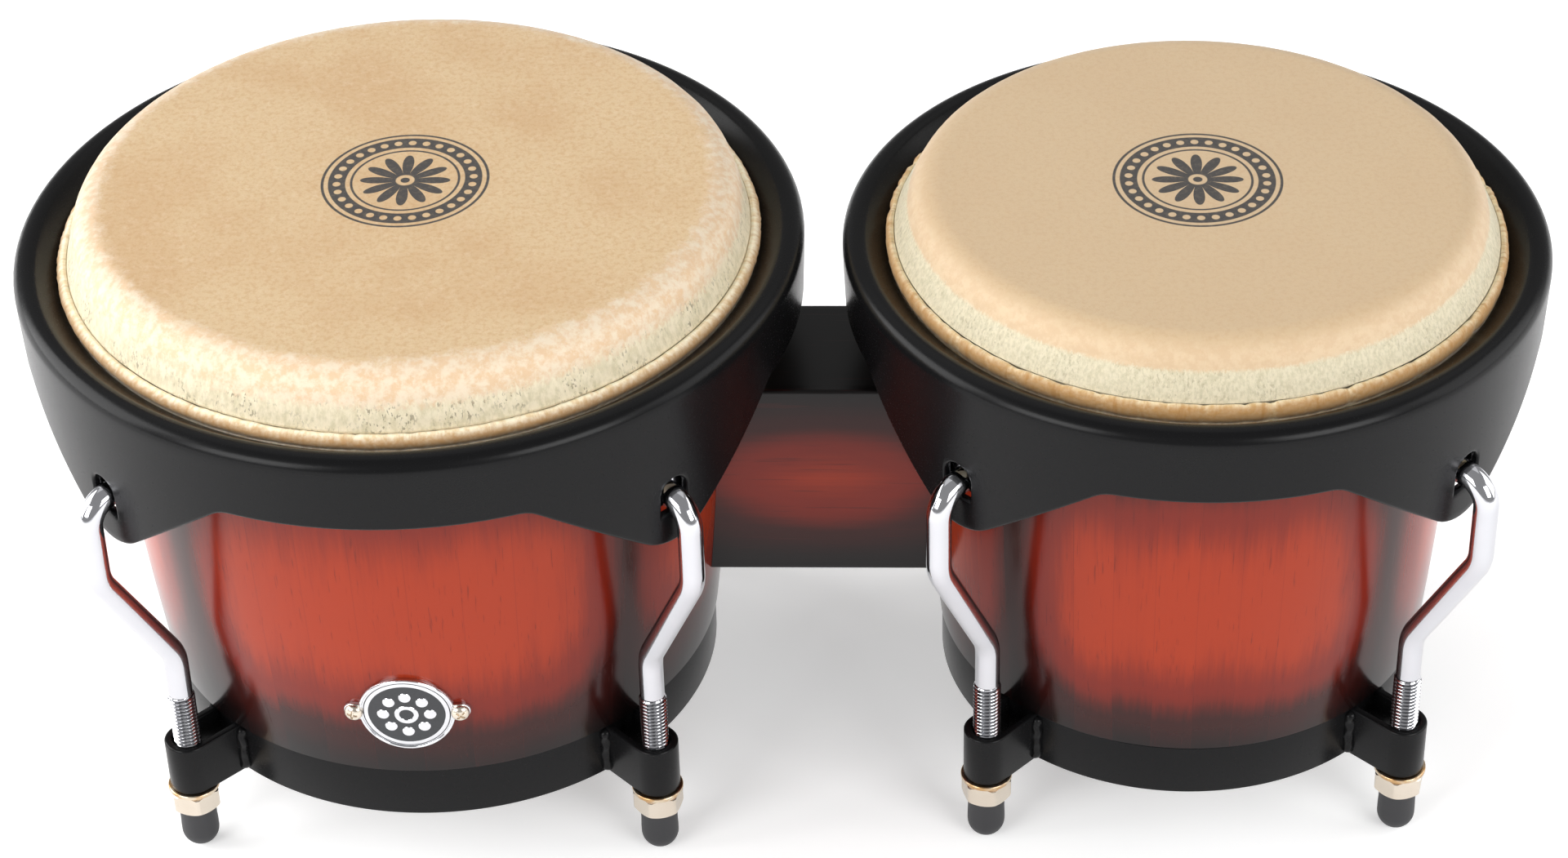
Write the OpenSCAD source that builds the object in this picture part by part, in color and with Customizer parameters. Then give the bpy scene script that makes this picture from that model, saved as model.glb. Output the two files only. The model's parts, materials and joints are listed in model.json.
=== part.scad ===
// A pair of bongo drums: a larger and a smaller stave shell joined by a wooden centre block.
// Each drum has a skin head on a flesh hoop, a rolled steel rim, and four hooked tuning rods
// that pass through brackets on the bottom band and end in a washer, a nut and a rubber cap.
// +X runs from the larger drum to the smaller one, -Y is the player's side and +Z is up.
// The origin is at the middle of the base, on the surface that the rubber caps stand on.

/* [Drums] */
// Nominal radius of the large head, just outside its shell
large_head_r = 91; // [90:0.5:92]
// Nominal radius of the small head, just outside its shell
small_head_r = 77; // [76:0.5:78]
// Distance between the two drums' axes
drum_spacing = 219; // [214:1:230]
// Height of the playing surface above the underside of the bottom band
head_z = 163; // [162:0.5:164]
// How far the large head's collar stands out at its crease
large_collar_flare = 4.3; // [4:0.1:4.5]
// The same distance on the small head
small_collar_flare = 6.5; // [6.2:0.1:6.7]
// Turn of the small drum about its own axis, which sets where its lugs come
small_turn = 2; // [0:1:4]

/* [Shells] */
// Outer radius of the large shell at its bottom edge
large_shell_bottom_r = 80; // [78:1:82]
// Outer radius of the small shell at its bottom edge
small_shell_bottom_r = 69.2; // [67.2:1:71.2]
// Thickness of the staves
stave_t = 9.5; // [8:0.5:11]
// Radius of the staves' gentle belly
stave_belly_r = 1140; // [1000:20:1300]

/* [Rims] */
// Distance from a head's nominal radius out to its rim's widest line
rim_reach_large = 19.4; // [18.4:0.2:20.4]
// The same distance on the small drum
rim_reach_small = 21; // [20:0.2:22]
// Radius of the bend along the rim's top edge
rim_roll_r = 4.2; // [4:0.1:4.4]
// Thickness of the rim's steel
rim_t = 2.6; // [2.2:0.1:3]
// Height of the skirt's lower edge between the lugs
skirt_edge_z = 125.6; // [122:0.2:128]
// Height of the lowest point of a lug ear
ear_bottom_z = 97; // [94:1:100]

/* [Tuning rods] */
// Distance from the large drum's axis to its lugs
large_lug_r = 95; // [94:0.5:98]
// Distance from the small drum's axis to its lugs
small_lug_r = 84; // [83:0.5:87]
// How far a rod steps out between its thread and its hook
rod_step = 20; // [19:0.5:21]
// Radius of the rod's plain shank
rod_r = 3.5; // [3.2:0.05:3.6]
// Outer radius of the rod's thread
thread_r = 3.95; // [3.85:0.01:3.96]
// Height where the thread ends
thread_top_z = 33.8; // [28:0.2:36]
// Height of the rod where it passes through the rim
hook_z = 112; // [111:0.5:113]

/* [Centre block] */
// Depth of the block, front to back
block_depth = 42.6; // [38:0.2:46]
// Height of the block's top face
block_top_z = 106.2; // [104:0.2:110]
// Height of the block's bottom face
block_bottom_z = 42; // [40:0.2:46]

/* [Band and brackets] */
// Height of the bottom band and its brackets
band_h = 16.8; // [15:0.2:18]
// Thickness of the bottom band
band_t = 2.2; // [1.8:0.1:2.4]
// Thickness of a bracket's strap
strap_t = 2.4; // [2:0.1:2.8]

/* [Hidden] */
$fn = 96;
TINY_FN = 32;
LUG_ANGLES = [-45, 45, 135, 225];

// Rest gap between parts that move against each other
gap = 0.3;

// Nuts, washers and rubber caps, measured down from the underside of the band
washer_t = 1.4;
washer_r = 7.4;
nut_gap = 0.1;
nut_h = 6.6;
nut_flats = 13;
nut_bore_r = 4;
nut_chamfer = 0.9;
cap_r = 5.4;
cap_wall = 1.4;
cap_bottom = 23;
rod_end = 17.2;

// The table is this far under the band, so every height is lifted by it
lift = cap_bottom;

// Skin head and flesh hoop
skin_t = 1.2;
shoulder_r = 9;
// Lean of the collar from the upright, and the height of the crease at its foot
large_collar_lean = 15.5;
small_collar_lean = 25;
large_crease_z = 146.8;
small_crease_z = 148;
hoop_r = 2.7;
tuck_z = 140.6;
tuck_inside_rim = 16.8;
tuck_join_angles = [50, 80];
tuck_r = hoop_r + gap + skin_t;
tuck_slit_angles = [100, 150];
shell_top_z = head_z - skin_t - 0.1;
shell_head_gap = skin_t + 0.8;
stave_steps = 14;
edge_round_r = 6;
edge_bevel = 3;

// Rim
roll_z = 142.6;
skirt_taper = 1.7;
bend_rise = 1.1;
lip_slope = 37;
lip_grip = 0.8;
bend_steps = 24;
ear_flank = 38;
ear_round_r = 16;
ear_fillet_r = 8;
slot_w = 9;
slot_bottom_z = hook_z - rod_r - 0.9;
rim_cut_past = 5;
slot_top_z = 118.4;

// Tuning rod
rod_slope = 28;
slope_mid_z = 66.7;
slope_bend_r = 14;
hook_bend_r = 8;
stretch_overlap = 0.4;
stretch_proud = 0.04;
rod_tee_w = 15;
rod_tee_t = 4.4;
rod_tee_h = 7.6;
rod_tee_gap = 0.6;
rod_tee_crown = 0.4;

// Brackets on the band
eye_r = thread_r + gap;
strap_r = eye_r + strap_t;
weld_r = 1.3;
weld_sunk = 0.3;
weld_inset = 0.6;
band_out = 0.9;
shell_lift = 0.8;

// Bolts that hold the shells to the block
bolt_r = 3.95;
bolt_hole_r = 4.2;
bolt_hole_len = 120;
bolt_clearance = 0.3;
bolt_heights = [57, 91];
LEVELS = ["lower", "upper"];
bolt_grip = 22;
bolt_head_r = 6.6;
bolt_head_h = 4.4;
bolt_head_taper = 0.72;
bolt_socket_depth = 0.6;
bolt_socket_af = 5;
bolt_washer_r = 10;
bolt_washer_t = 1.6;
spot_face_depth = 1.4;
spot_face_clearance = 0.5;
insert_r = 5.6;
insert_len = 16;
insert_bore_r = 4;
insert_inset = 3;
block_edge = 1;
block_fit = 0.05;

// Badge on the front of the large drum
badge_z = 41.5;
badge_r = 13.5;
badge_t = 1.1;
badge_ear_x = 14.9;
badge_ear_r = 2.9;
badge_screw_r = 1.3;
badge_screw_head_r = 2.6;
badge_screw_len = 7;
badge_screw_head_h = 1.3;
badge_screw_head_top = 0.6;
badge_screw_seat = 0.32;
badge_hole_r = 1.6;
badge_fit = 0.02;

// Places of the two drums, so that the base's middle is at the origin
large_rim_r = large_head_r + rim_reach_large;
small_rim_r = small_head_r + rim_reach_small;
large_x = (large_rim_r - small_rim_r - drum_spacing) / 2;
small_x = large_x + drum_spacing;

LARGE = "large";
SMALL = "small";
DRUMS = [LARGE, SMALL];
BOLT_PARTS = ["block_bolt", "block_washer"];
LUG_PARTS = ["tuning_rod", "tuning_nut", "lug_washer", "rubber_cap"];

function is_large(drum) = drum == LARGE;
function drum_x(drum) = is_large(drum) ? large_x : small_x;
function drum_turn(drum) = is_large(drum) ? 0 : small_turn;
function head_r(drum) = is_large(drum) ? large_head_r : small_head_r;
function rim_r(drum) = is_large(drum) ? large_rim_r : small_rim_r;
function lug_r(drum) = is_large(drum) ? large_lug_r : small_lug_r;
function shell_bottom_r(drum) = is_large(drum) ? large_shell_bottom_r : small_shell_bottom_r;
function shell_top_r(drum) = head_r(drum) - shell_head_gap;
// Radius of the bottom band's outside
function band_r(drum) = shell_bottom_r(drum) + band_out;
// Height and radius of the belly's widest line: the belly passes through both ends of a stave
function belly_z(drum) = shell_top_z / 2
    + (shell_top_r(drum) - shell_bottom_r(drum)) * stave_belly_r / shell_top_z;
function belly_r(drum) = shell_bottom_r(drum) + belly_z(drum) * belly_z(drum) / (2 * stave_belly_r);
function shell_r(drum, z) = belly_r(drum) - (z - belly_z(drum)) * (z - belly_z(drum)) / (2 * stave_belly_r);
// Radius of the rim's outside at a height on the skirt
function skirt_r(drum, z) = rim_r(drum) - skirt_taper * (roll_z - z) / (roll_z - ear_bottom_z);
function hoop_centre_r(drum) = rim_r(drum) - tuck_inside_rim;
function collar_lean(drum) = is_large(drum) ? large_collar_lean : small_collar_lean;
function crease(drum) = is_large(drum)
    ? [large_head_r + large_collar_flare, large_crease_z]
    : [small_head_r + small_collar_flare, small_crease_z];
// Centre of the shoulder's arc, which runs from the level top into the leaning collar
function shoulder_centre(drum) =
    let (lean = collar_lean(drum), z = head_z - shoulder_r, foot = crease(drum))
    [foot[0] - (shoulder_r + (z - foot[1]) * sin(lean)) / cos(lean), z];

// Places a drum's parts: heights are measured from the underside of its band
module at_drum(drum) {
    translate([drum_x(drum), 0, lift])
        rotate([0, 0, drum_turn(drum)])
            children();
}

// Places a part at a lug, with +X pointing away from the drum's axis
module at_lug(drum, i) {
    at_drum(drum)
        rotate([0, 0, LUG_ANGLES[i]])
            children();
}

// Points along an arc
function arc(centre, r, from, to, steps) =
    [for (i = [0:steps]) let (a = from + (to - from) * i / steps) centre + r * [cos(a), sin(a)]];

// Section of a stave's outside, moved outwards by out
module stave_outline(drum, out, bottom, top) {
    step = (top - bottom) / stave_steps;
    polygon(concat(
        [[0, bottom]],
        [for (z = [bottom:step:top + step / 2]) [shell_r(drum, z) + out, z]],
        [[0, top]]
    ));
}

module stave_section(drum) {
    seat_r = band_r(drum) - band_t;
    top_r = shell_top_r(drum);
    difference() {
        stave_outline(drum, 0, shell_lift, shell_top_z);
        stave_outline(drum, -stave_t, -1, shell_top_z + 1);
        // seat of the bottom band
        translate([seat_r, -1])
            square([stave_t, band_h + 1 + gap]);
        // rounded bearing edge, and the bevel inside it
        translate([top_r - edge_round_r, shell_top_z - edge_round_r])
            difference() {
                square(edge_round_r + 1);
                circle(edge_round_r, $fn = TINY_FN);
            }
        translate([top_r - stave_t, shell_top_z])
            rotate(45)
                square(edge_bevel * sqrt(2), center = true);
    }
}

// Side of a drum that faces the block: 0 on the large drum, 180 on the small one
function block_side(drum) = is_large(drum) ? 0 : 180;

module at_block_bolt(drum, z) {
    translate([drum_x(drum), 0, lift + z])
        rotate([0, 0, block_side(drum)])
            rotate([0, 90, 0])
                children();
}

// Distance from a drum's axis to the spot face that a block bolt's washer sits on
function spot_face_r(drum, z) = shell_r(drum, z) - stave_t + spot_face_depth;

module shell(drum) {
    color("firebrick")
        difference() {
            translate([drum_x(drum), 0, lift])
                rotate_extrude()
                    stave_section(drum);
            for (z = bolt_heights) {
                at_block_bolt(drum, z)
                    cylinder(r = bolt_hole_r, h = bolt_hole_len);
                at_block_bolt(drum, z)
                    cylinder(r = bolt_washer_r + spot_face_clearance, h = spot_face_r(drum, z));
            }
            if (is_large(drum))
                badge_screw_places()
                    cylinder(r = badge_screw_r, h = badge_screw_len);
        }
}

// U-shaped strap around a rod, open towards the band that it is welded to
module bracket(drum) {
    difference() {
        union() {
            translate([lug_r(drum), 0, 0])
                cylinder(r = strap_r, h = band_h);
            translate([band_r(drum) - band_t / 2, -strap_r, 0])
                cube([lug_r(drum) - band_r(drum) + band_t / 2, 2 * strap_r, band_h]);
            for (side = [-1, 1])
                translate([band_r(drum) - weld_sunk, side * strap_r, weld_inset])
                    cylinder(r = weld_r, h = band_h - 2 * weld_inset, $fn = TINY_FN);
        }
        translate([lug_r(drum), 0, -1])
            cylinder(r = eye_r, h = band_h + 2);
        translate([0, -eye_r, -1])
            cube([lug_r(drum), 2 * eye_r, band_h + 2]);
    }
}

module bottom_band(drum) {
    color("dimgray")
        at_drum(drum) {
            rotate_extrude()
                translate([band_r(drum) - band_t, 0])
                    square([band_t, band_h]);
            for (angle = LUG_ANGLES)
                rotate([0, 0, angle])
                    bracket(drum);
        }
}

module centre_block_body() {
    depth = block_depth - 2 * block_edge;
    height = block_top_z - block_bottom_z;
    length = drum_spacing;
    translate([large_x, 0, lift + block_bottom_z])
        rotate([90, 0, 90])
            linear_extrude(length)
                polygon([
                    [-block_depth / 2, block_edge], [-depth / 2, 0],
                    [depth / 2, 0], [block_depth / 2, block_edge],
                    [block_depth / 2, height - block_edge], [depth / 2, height],
                    [-depth / 2, height], [-block_depth / 2, height - block_edge]
                ]);
}

// The block's ends are hollowed to fit the two shells
module centre_block() {
    color("firebrick")
        difference() {
            centre_block_body();
            for (drum = [LARGE, SMALL]) {
                translate([drum_x(drum), 0, lift])
                    rotate_extrude()
                        stave_outline(drum, block_fit, block_bottom_z - 2, block_top_z + 2);
                for (z = bolt_heights) {
                    at_block_bolt(drum, z)
                        cylinder(r = bolt_r + bolt_clearance, h = spot_face_r(drum, z) + bolt_grip + stave_t);
                    at_block_bolt(drum, z)
                        translate([0, 0, shell_r(drum, z) + insert_inset])
                            cylinder(r = insert_r, h = insert_len);
                }
            }
        }
}

module block_inserts() {
    color("goldenrod")
        for (drum = [LARGE, SMALL])
            for (z = bolt_heights)
                at_block_bolt(drum, z)
                    translate([0, 0, shell_r(drum, z) + insert_inset])
                        difference() {
                            cylinder(r = insert_r, h = insert_len);
                            translate([0, 0, -1])
                                cylinder(r = insert_bore_r, h = insert_len + 2);
                        }
}

// Button-head screw from inside a shell into the block
module block_bolt(drum, level) {
    z = bolt_heights[level];
    seat = spot_face_r(drum, z) - bolt_washer_t;
    color("silver")
        at_block_bolt(drum, z)
            difference() {
                union() {
                    translate([0, 0, seat])
                        cylinder(r = bolt_r, h = bolt_grip + bolt_washer_t);
                    translate([0, 0, seat - bolt_head_h])
                        cylinder(r1 = bolt_head_r * bolt_head_taper, r2 = bolt_head_r, h = bolt_head_h / 2);
                    translate([0, 0, seat - bolt_head_h / 2])
                        cylinder(r = bolt_head_r, h = bolt_head_h / 2);
                }
                translate([0, 0, seat - bolt_head_h - 1])
                    cylinder(d = bolt_socket_af / cos(30), h = bolt_head_h * bolt_socket_depth + 1, $fn = 6);
            }
}

module block_washer(drum, level) {
    z = bolt_heights[level];
    color("silver")
        at_block_bolt(drum, z)
            translate([0, 0, spot_face_r(drum, z) - bolt_washer_t])
                difference() {
                    cylinder(r = bolt_washer_r, h = bolt_washer_t);
                    translate([0, 0, -1])
                        cylinder(r = bolt_hole_r, h = bolt_washer_t + 2);
                }
}

// Half section of the skin: playing surface, shoulder, leaning collar and the tuck round the hoop
module skin_section(drum) {
    shoulder = shoulder_centre(drum);
    lean = collar_lean(drum);
    out = [cos(lean), sin(lean)];
    foot = crease(drum);
    hoop = [hoop_centre_r(drum), tuck_z];
    join = [for (a = tuck_join_angles) [cos(a), sin(a)]];
    translate([0, head_z - skin_t])
        square([shoulder[0], skin_t]);
    translate(shoulder)
        difference() {
            intersection() {
                circle(shoulder_r);
                polygon(concat([[0, 0]], arc([0, 0], 2 * shoulder_r, lean, 90, 4)));
            }
            circle(shoulder_r - skin_t);
        }
    polygon([
        shoulder + shoulder_r * out,
        foot,
        hoop + tuck_r * join[0],
        hoop + (tuck_r - skin_t / 2) * join[0],
        hoop + (tuck_r - skin_t / 2) * join[1],
        foot - skin_t * out,
        shoulder + (shoulder_r - skin_t) * out
    ]);
    translate(hoop)
        difference() {
            circle(tuck_r);
            circle(hoop_r + gap);
            polygon(concat([[0, 0]], arc([0, 0], 2 * tuck_r, tuck_slit_angles[0], tuck_slit_angles[1], 4)));
        }
}

module skin_head(drum) {
    color("wheat")
        at_drum(drum)
            rotate_extrude()
                skin_section(drum);
}

module flesh_hoop(drum) {
    color("gray")
        at_drum(drum)
            rotate_extrude()
                translate([hoop_centre_r(drum), tuck_z])
                    circle(hoop_r, $fn = TINY_FN);
}

// Half section of the rolled rim: skirt, roll and the lip that presses on the tuck
module rim_section(drum) {
    r = rim_r(drum);
    low = skirt_r(drum, ear_bottom_z);
    hoop = [hoop_centre_r(drum), tuck_z];
    bend = [r - rim_roll_r, roll_z + bend_rise];
    end_angle = 90 + lip_slope;
    out = [cos(end_angle), sin(end_angle)];
    bend_end = bend + rim_roll_r * out;
    reach = bend_end[0] - hoop[0] - tuck_r * lip_grip;
    lip = bend_end - reach * [1, tan(lip_slope)];
    difference() {
        polygon(concat(
            [[low - rim_t, ear_bottom_z], [low, ear_bottom_z], [r, roll_z]],
            arc(bend, rim_roll_r, 0, end_angle, bend_steps),
            [lip, lip - rim_t * out],
            arc(bend, rim_roll_r - rim_t, end_angle, 0, bend_steps),
            [[r - rim_t, roll_z]]
        ));
        translate(hoop)
            circle(tuck_r + gap);
    }
}

// Outline of an ear in the plane square to a lug: straight flanks over a round bottom, with
// a fillet where each flank runs out into the skirt's level edge
module ear_outline() {
    round_z = ear_bottom_z + ear_round_r;
    tangent = ear_round_r * [sin(ear_flank), -cos(ear_flank)];
    corner_x = tangent[0] + (skirt_edge_z - round_z - tangent[1]) / tan(ear_flank);
    fillet = [corner_x + ear_fillet_r * tan(ear_flank / 2), skirt_edge_z - ear_fillet_r];
    polygon(concat(
        arc([0, round_z], ear_round_r, -90 - ear_flank, -90 + ear_flank, 12),
        arc(fillet, ear_fillet_r, 90 + ear_flank, 90, 6),
        [[fillet[0], roll_z], [-fillet[0], roll_z]],
        arc([-fillet[0], fillet[1]], ear_fillet_r, 90, 90 - ear_flank, 6)
    ));
}

// Opening that a rod's hook goes through: straight sides with an arched top
module slot_outline() {
    arch = slot_w / 2;
    translate([-arch, slot_bottom_z])
        square([slot_w, slot_top_z - arch - slot_bottom_z]);
    translate([0, slot_top_z - arch])
        circle(arch, $fn = TINY_FN);
}

// Stands an outline up across a lug's radius and draws it out along +X
module across_lug(from, to) {
    translate([from, 0, 0])
        rotate([90, 0, 90])
            linear_extrude(to - from)
                children();
}

module rim(drum) {
    reach = rim_r(drum) + rim_cut_past;
    color("dimgray")
        at_drum(drum)
            difference() {
                intersection() {
                    rotate_extrude()
                        rim_section(drum);
                    union() {
                        translate([0, 0, skirt_edge_z])
                            cylinder(r = reach, h = roll_z);
                        for (angle = LUG_ANGLES)
                            rotate([0, 0, angle])
                                across_lug(reach / 2, reach)
                                    ear_outline();
                    }
                }
                for (angle = LUG_ANGLES)
                    rotate([0, 0, angle])
                        across_lug(reach / 2, reach)
                            slot_outline();
            }
}

// Quarter or part bend of the rod, in the XZ plane, from the angle given through turn
module rod_bend(centre, bend_r, from, turn) {
    translate([centre[0], 0, centre[1]])
        rotate([90, 0, 0])
            rotate_extrude(angle = turn, start = from)
                translate([bend_r, 0])
                    circle(rod_r, $fn = TINY_FN);
}

// Straight stretch of the rod between two points in the XZ plane. It runs a little into the
// bends at its ends and is a hair thicker than they are, so that the two surfaces cross cleanly.
module rod_stretch(a, b) {
    run = b - a;
    past = stretch_overlap * run / norm(run);
    translate([a[0] - past[0], 0, a[1] - past[1]])
        rotate([0, atan2(run[0], run[1]), 0])
            cylinder(r = rod_r + stretch_proud, h = norm(run) + 2 * stretch_overlap, $fn = TINY_FN);
}

// A rod at its place on the drum: thread below, step outwards, hook over into the rim
module tuning_rod(drum, i) {
    low = lug_r(drum);
    high = low + rod_step;
    half = rod_step / 2 / tan(rod_slope);
    tangent = slope_bend_r * tan(rod_slope / 2);
    along = [sin(rod_slope), cos(rod_slope)];
    low_corner = [low, slope_mid_z - half];
    high_corner = [high, slope_mid_z + half];
    hook_start = [high, hook_z - hook_bend_r];
    low_bend = [low + slope_bend_r, low_corner[1] - tangent];
    high_bend = [high - slope_bend_r, high_corner[1] + tangent];
    tee_r = skirt_r(drum, hook_z) - rim_t - rod_tee_gap;
    color("gainsboro")
        at_lug(drum, i)
            union() {
                translate([low, 0, -rod_end])
                    cylinder(r = thread_r, h = rod_end + thread_top_z, $fn = TINY_FN);
                rod_stretch([low, thread_top_z], low_corner - [0, tangent]);
                rod_bend(low_bend, slope_bend_r, 180 - rod_slope, rod_slope);
                rod_stretch(low_corner + tangent * along, high_corner - tangent * along);
                rod_bend(high_bend, slope_bend_r, -rod_slope, rod_slope);
                rod_stretch(high_corner + [0, tangent], hook_start);
                rod_bend([high - hook_bend_r, hook_start[1]], hook_bend_r, 0, 90);
                rod_stretch([high - hook_bend_r, hook_z], [tee_r - rod_tee_t / 2, hook_z]);
                translate([tee_r - rod_tee_t, 0, hook_z])
                    rotate([90, 0, 90])
                        linear_extrude(rod_tee_t)
                            intersection() {
                                square([rod_tee_w, rod_tee_h], center = true);
                                circle(rod_tee_w / 2 + rod_tee_crown);
                            }
            }
}

// Hexagon nut with its corners turned off at both ends
module tuning_nut(drum, i) {
    corner_r = nut_flats / 2 / cos(30);
    color("silver")
        at_lug(drum, i)
            translate([lug_r(drum), 0, -washer_t - nut_gap - nut_h])
                difference() {
                    intersection() {
                        cylinder(r = corner_r, h = nut_h, $fn = 6);
                        union() {
                            cylinder(r1 = corner_r - nut_chamfer, r2 = corner_r, h = nut_chamfer / 2);
                            translate([0, 0, nut_chamfer / 2])
                                cylinder(r = corner_r, h = nut_h - nut_chamfer);
                            translate([0, 0, nut_h - nut_chamfer / 2])
                                cylinder(r1 = corner_r, r2 = corner_r - nut_chamfer, h = nut_chamfer / 2);
                        }
                    }
                    translate([0, 0, -1])
                        cylinder(r = nut_bore_r, h = nut_h + 2);
                }
}

module lug_washer(drum, i) {
    color("silver")
        at_lug(drum, i)
            translate([lug_r(drum), 0, -washer_t])
                difference() {
                    cylinder(r = washer_r, h = washer_t);
                    translate([0, 0, -1])
                        cylinder(r = eye_r, h = washer_t + 2);
                }
}

// Push-on rubber cap over the rod's end, round at the bottom
module rubber_cap(drum, i) {
    top = -washer_t - nut_gap - nut_h - gap;
    round_z = cap_r - cap_bottom;
    color("darkslategray")
        at_lug(drum, i)
            translate([lug_r(drum), 0, 0])
                rotate_extrude()
                    difference() {
                        union() {
                            translate([0, round_z])
                                square([cap_r, top - round_z]);
                            intersection() {
                                translate([0, round_z])
                                    circle(cap_r, $fn = TINY_FN);
                                translate([0, -cap_bottom])
                                    square(cap_r);
                            }
                        }
                        translate([-1, -rod_end])
                            square([cap_r - cap_wall + 1, rod_end]);
                    }
}

// Radius of the badge's face about the large drum's axis
function badge_face_r() = shell_r(LARGE, badge_z) + badge_t;

// Screw places on the badge's two ears, pointing straight in to the drum's axis
module badge_screw_places() {
    for (side = [-1, 1])
        translate([large_x, 0, lift + badge_z])
            rotate([0, 0, side * asin(badge_ear_x / badge_face_r())])
                rotate([90, 0, 0])
                    translate([0, 0, badge_face_r() + badge_screw_seat - badge_screw_len])
                        children();
}

// Curved plate that follows the shell: a disc with an ear at each side
module badge_plate() {
    color("gainsboro")
        difference() {
            intersection() {
                translate([large_x, 0, lift])
                    rotate_extrude()
                        difference() {
                            stave_outline(LARGE, badge_t, band_h + 1, badge_z + 2 * badge_r);
                            stave_outline(LARGE, badge_fit, band_h, badge_z + 3 * badge_r);
                        }
                translate([large_x, 0, lift + badge_z])
                    rotate([90, 0, 0])
                        linear_extrude(2 * large_head_r) {
                            circle(badge_r);
                            translate([-badge_ear_x, -badge_ear_r])
                                square([2 * badge_ear_x, 2 * badge_ear_r]);
                            for (side = [-1, 1])
                                translate([side * badge_ear_x, 0])
                                    circle(badge_ear_r, $fn = TINY_FN);
                        }
            }
            badge_screw_places()
                cylinder(r = badge_hole_r, h = badge_screw_len + 2);
        }
}

module badge_screws() {
    color("silver")
        badge_screw_places() {
            cylinder(r = badge_screw_r, h = badge_screw_len, $fn = TINY_FN);
            translate([0, 0, badge_screw_len])
                cylinder(
                    r1 = badge_screw_head_r,
                    r2 = badge_screw_head_r * badge_screw_head_top,
                    h = badge_screw_head_h,
                    $fn = TINY_FN
                );
        }
}

centre_block();
block_inserts();  // block_threaded_inserts
badge_plate();
badge_screws();
for (drum = DRUMS) {
    shell(drum);
    bottom_band(drum);
    skin_head(drum);
    flesh_hoop(drum);
    rim(drum);
    for (level = [0, 1]) {
        block_bolt(drum, level);
        block_washer(drum, level);
    }
    for (i = [0:3]) {
        tuning_rod(drum, i);
        tuning_nut(drum, i);
        lug_washer(drum, i);
        rubber_cap(drum, i);
    }
}
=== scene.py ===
"""Looks for a pair of bongo drums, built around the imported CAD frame.

Shapes are worked out in millimetres about each drum's axis, with heights from the underside of
its bottom band, and are moved into the frame when their mesh is made.
"""

import json
import math

import bmesh
import bpy
import numpy as np
from mathutils import Matrix, Vector, noise


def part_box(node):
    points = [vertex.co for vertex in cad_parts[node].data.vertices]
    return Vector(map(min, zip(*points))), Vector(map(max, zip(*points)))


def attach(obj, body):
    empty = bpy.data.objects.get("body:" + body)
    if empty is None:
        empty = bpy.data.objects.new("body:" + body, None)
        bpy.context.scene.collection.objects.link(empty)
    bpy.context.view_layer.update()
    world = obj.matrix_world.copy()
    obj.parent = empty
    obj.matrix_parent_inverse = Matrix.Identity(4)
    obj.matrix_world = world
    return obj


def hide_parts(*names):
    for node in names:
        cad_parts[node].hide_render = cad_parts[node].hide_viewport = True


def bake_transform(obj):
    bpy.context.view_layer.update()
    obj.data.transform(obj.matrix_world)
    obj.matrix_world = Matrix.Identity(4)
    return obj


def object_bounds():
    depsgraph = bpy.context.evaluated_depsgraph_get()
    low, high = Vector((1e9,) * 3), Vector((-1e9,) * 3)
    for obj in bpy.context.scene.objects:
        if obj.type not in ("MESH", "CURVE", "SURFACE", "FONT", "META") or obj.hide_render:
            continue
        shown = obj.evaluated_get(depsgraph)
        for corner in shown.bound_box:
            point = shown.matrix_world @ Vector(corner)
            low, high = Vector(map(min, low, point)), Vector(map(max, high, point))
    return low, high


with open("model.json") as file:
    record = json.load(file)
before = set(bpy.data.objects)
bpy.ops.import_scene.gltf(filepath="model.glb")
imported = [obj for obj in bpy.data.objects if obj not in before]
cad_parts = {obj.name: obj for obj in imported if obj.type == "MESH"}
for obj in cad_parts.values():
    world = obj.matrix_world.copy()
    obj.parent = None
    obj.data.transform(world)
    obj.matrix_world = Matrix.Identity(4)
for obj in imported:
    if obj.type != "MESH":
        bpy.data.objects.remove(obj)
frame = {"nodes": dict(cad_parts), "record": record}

CAD_BOX = [list(corner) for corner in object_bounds()]

MM = 0.001
TAU = 2 * math.pi
RECORD = frame["record"]
BODY_OF = {node: body for body, nodes in RECORD["behaviour"]["bodies"].items() for node in nodes}

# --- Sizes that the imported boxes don't give, in mm ---
BOX_MARGIN = 0.02
SKIN_T = 1.2
SHOULDER_R = 9.0
CREASE = {"large": (95.3, 146.8), "small": (83.5, 148.0)}
COLLAR_LEAN = {"large": math.radians(15.5), "small": math.radians(25)}
TUCK_R = 4.2
TUCK_Z = 140.6
SHELL_TOP_Z = 161.7
STAVE_T = 9.5
BELLY_R = 1140.0
SHELL_BOTTOM_R = {"large": 80.0, "small": 69.2}
SHELL_TOP_R = {"large": 89.0, "small": 75.0}
SHELL_LIFT = 0.8
BAND_OUT = 0.9
BAND_T = 2.2
BAND_H = 16.8
STRAP_T = 2.4
EYE_R = 4.25
RIM_T = 2.6
RIM_ROLL_R = 4.2
BEND_RISE = 1.1
LIP_SLOPE = math.radians(37)
LIP_INSET = 13.2
ROLL_Z = 142.6
SKIRT_TAPER = 1.7
SKIRT_EDGE_Z = 125.6
EAR_BOTTOM_Z = 97.0
EAR_FLANK = math.radians(38)
EAR_ROUND_R = 16.0
EAR_FILLET_R = 8.0
HOOK_Z = 112.0
SLOT_W = 9.0
SLOT_BOTTOM_Z = 107.6
SLOT_TOP_Z = 118.4
ROD_R = 3.5
THREAD_R = 3.95
THREAD_PITCH = 1.25
THREAD_TOP_Z = 33.8
ROD_END_Z = -17.2
ROD_STEP = 20.0
ROD_SLOPE = math.radians(28)
SLOPE_MID_Z = 66.7
SLOPE_BEND_R = 14.0
HOOK_BEND_R = 8.0
BOLT_HEIGHTS = (57.0, 91.0)
BADGE_Z = 41.5
BADGE_R = 13.5
BADGE_T = 1.1
BADGE_EAR_X = 14.9
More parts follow.
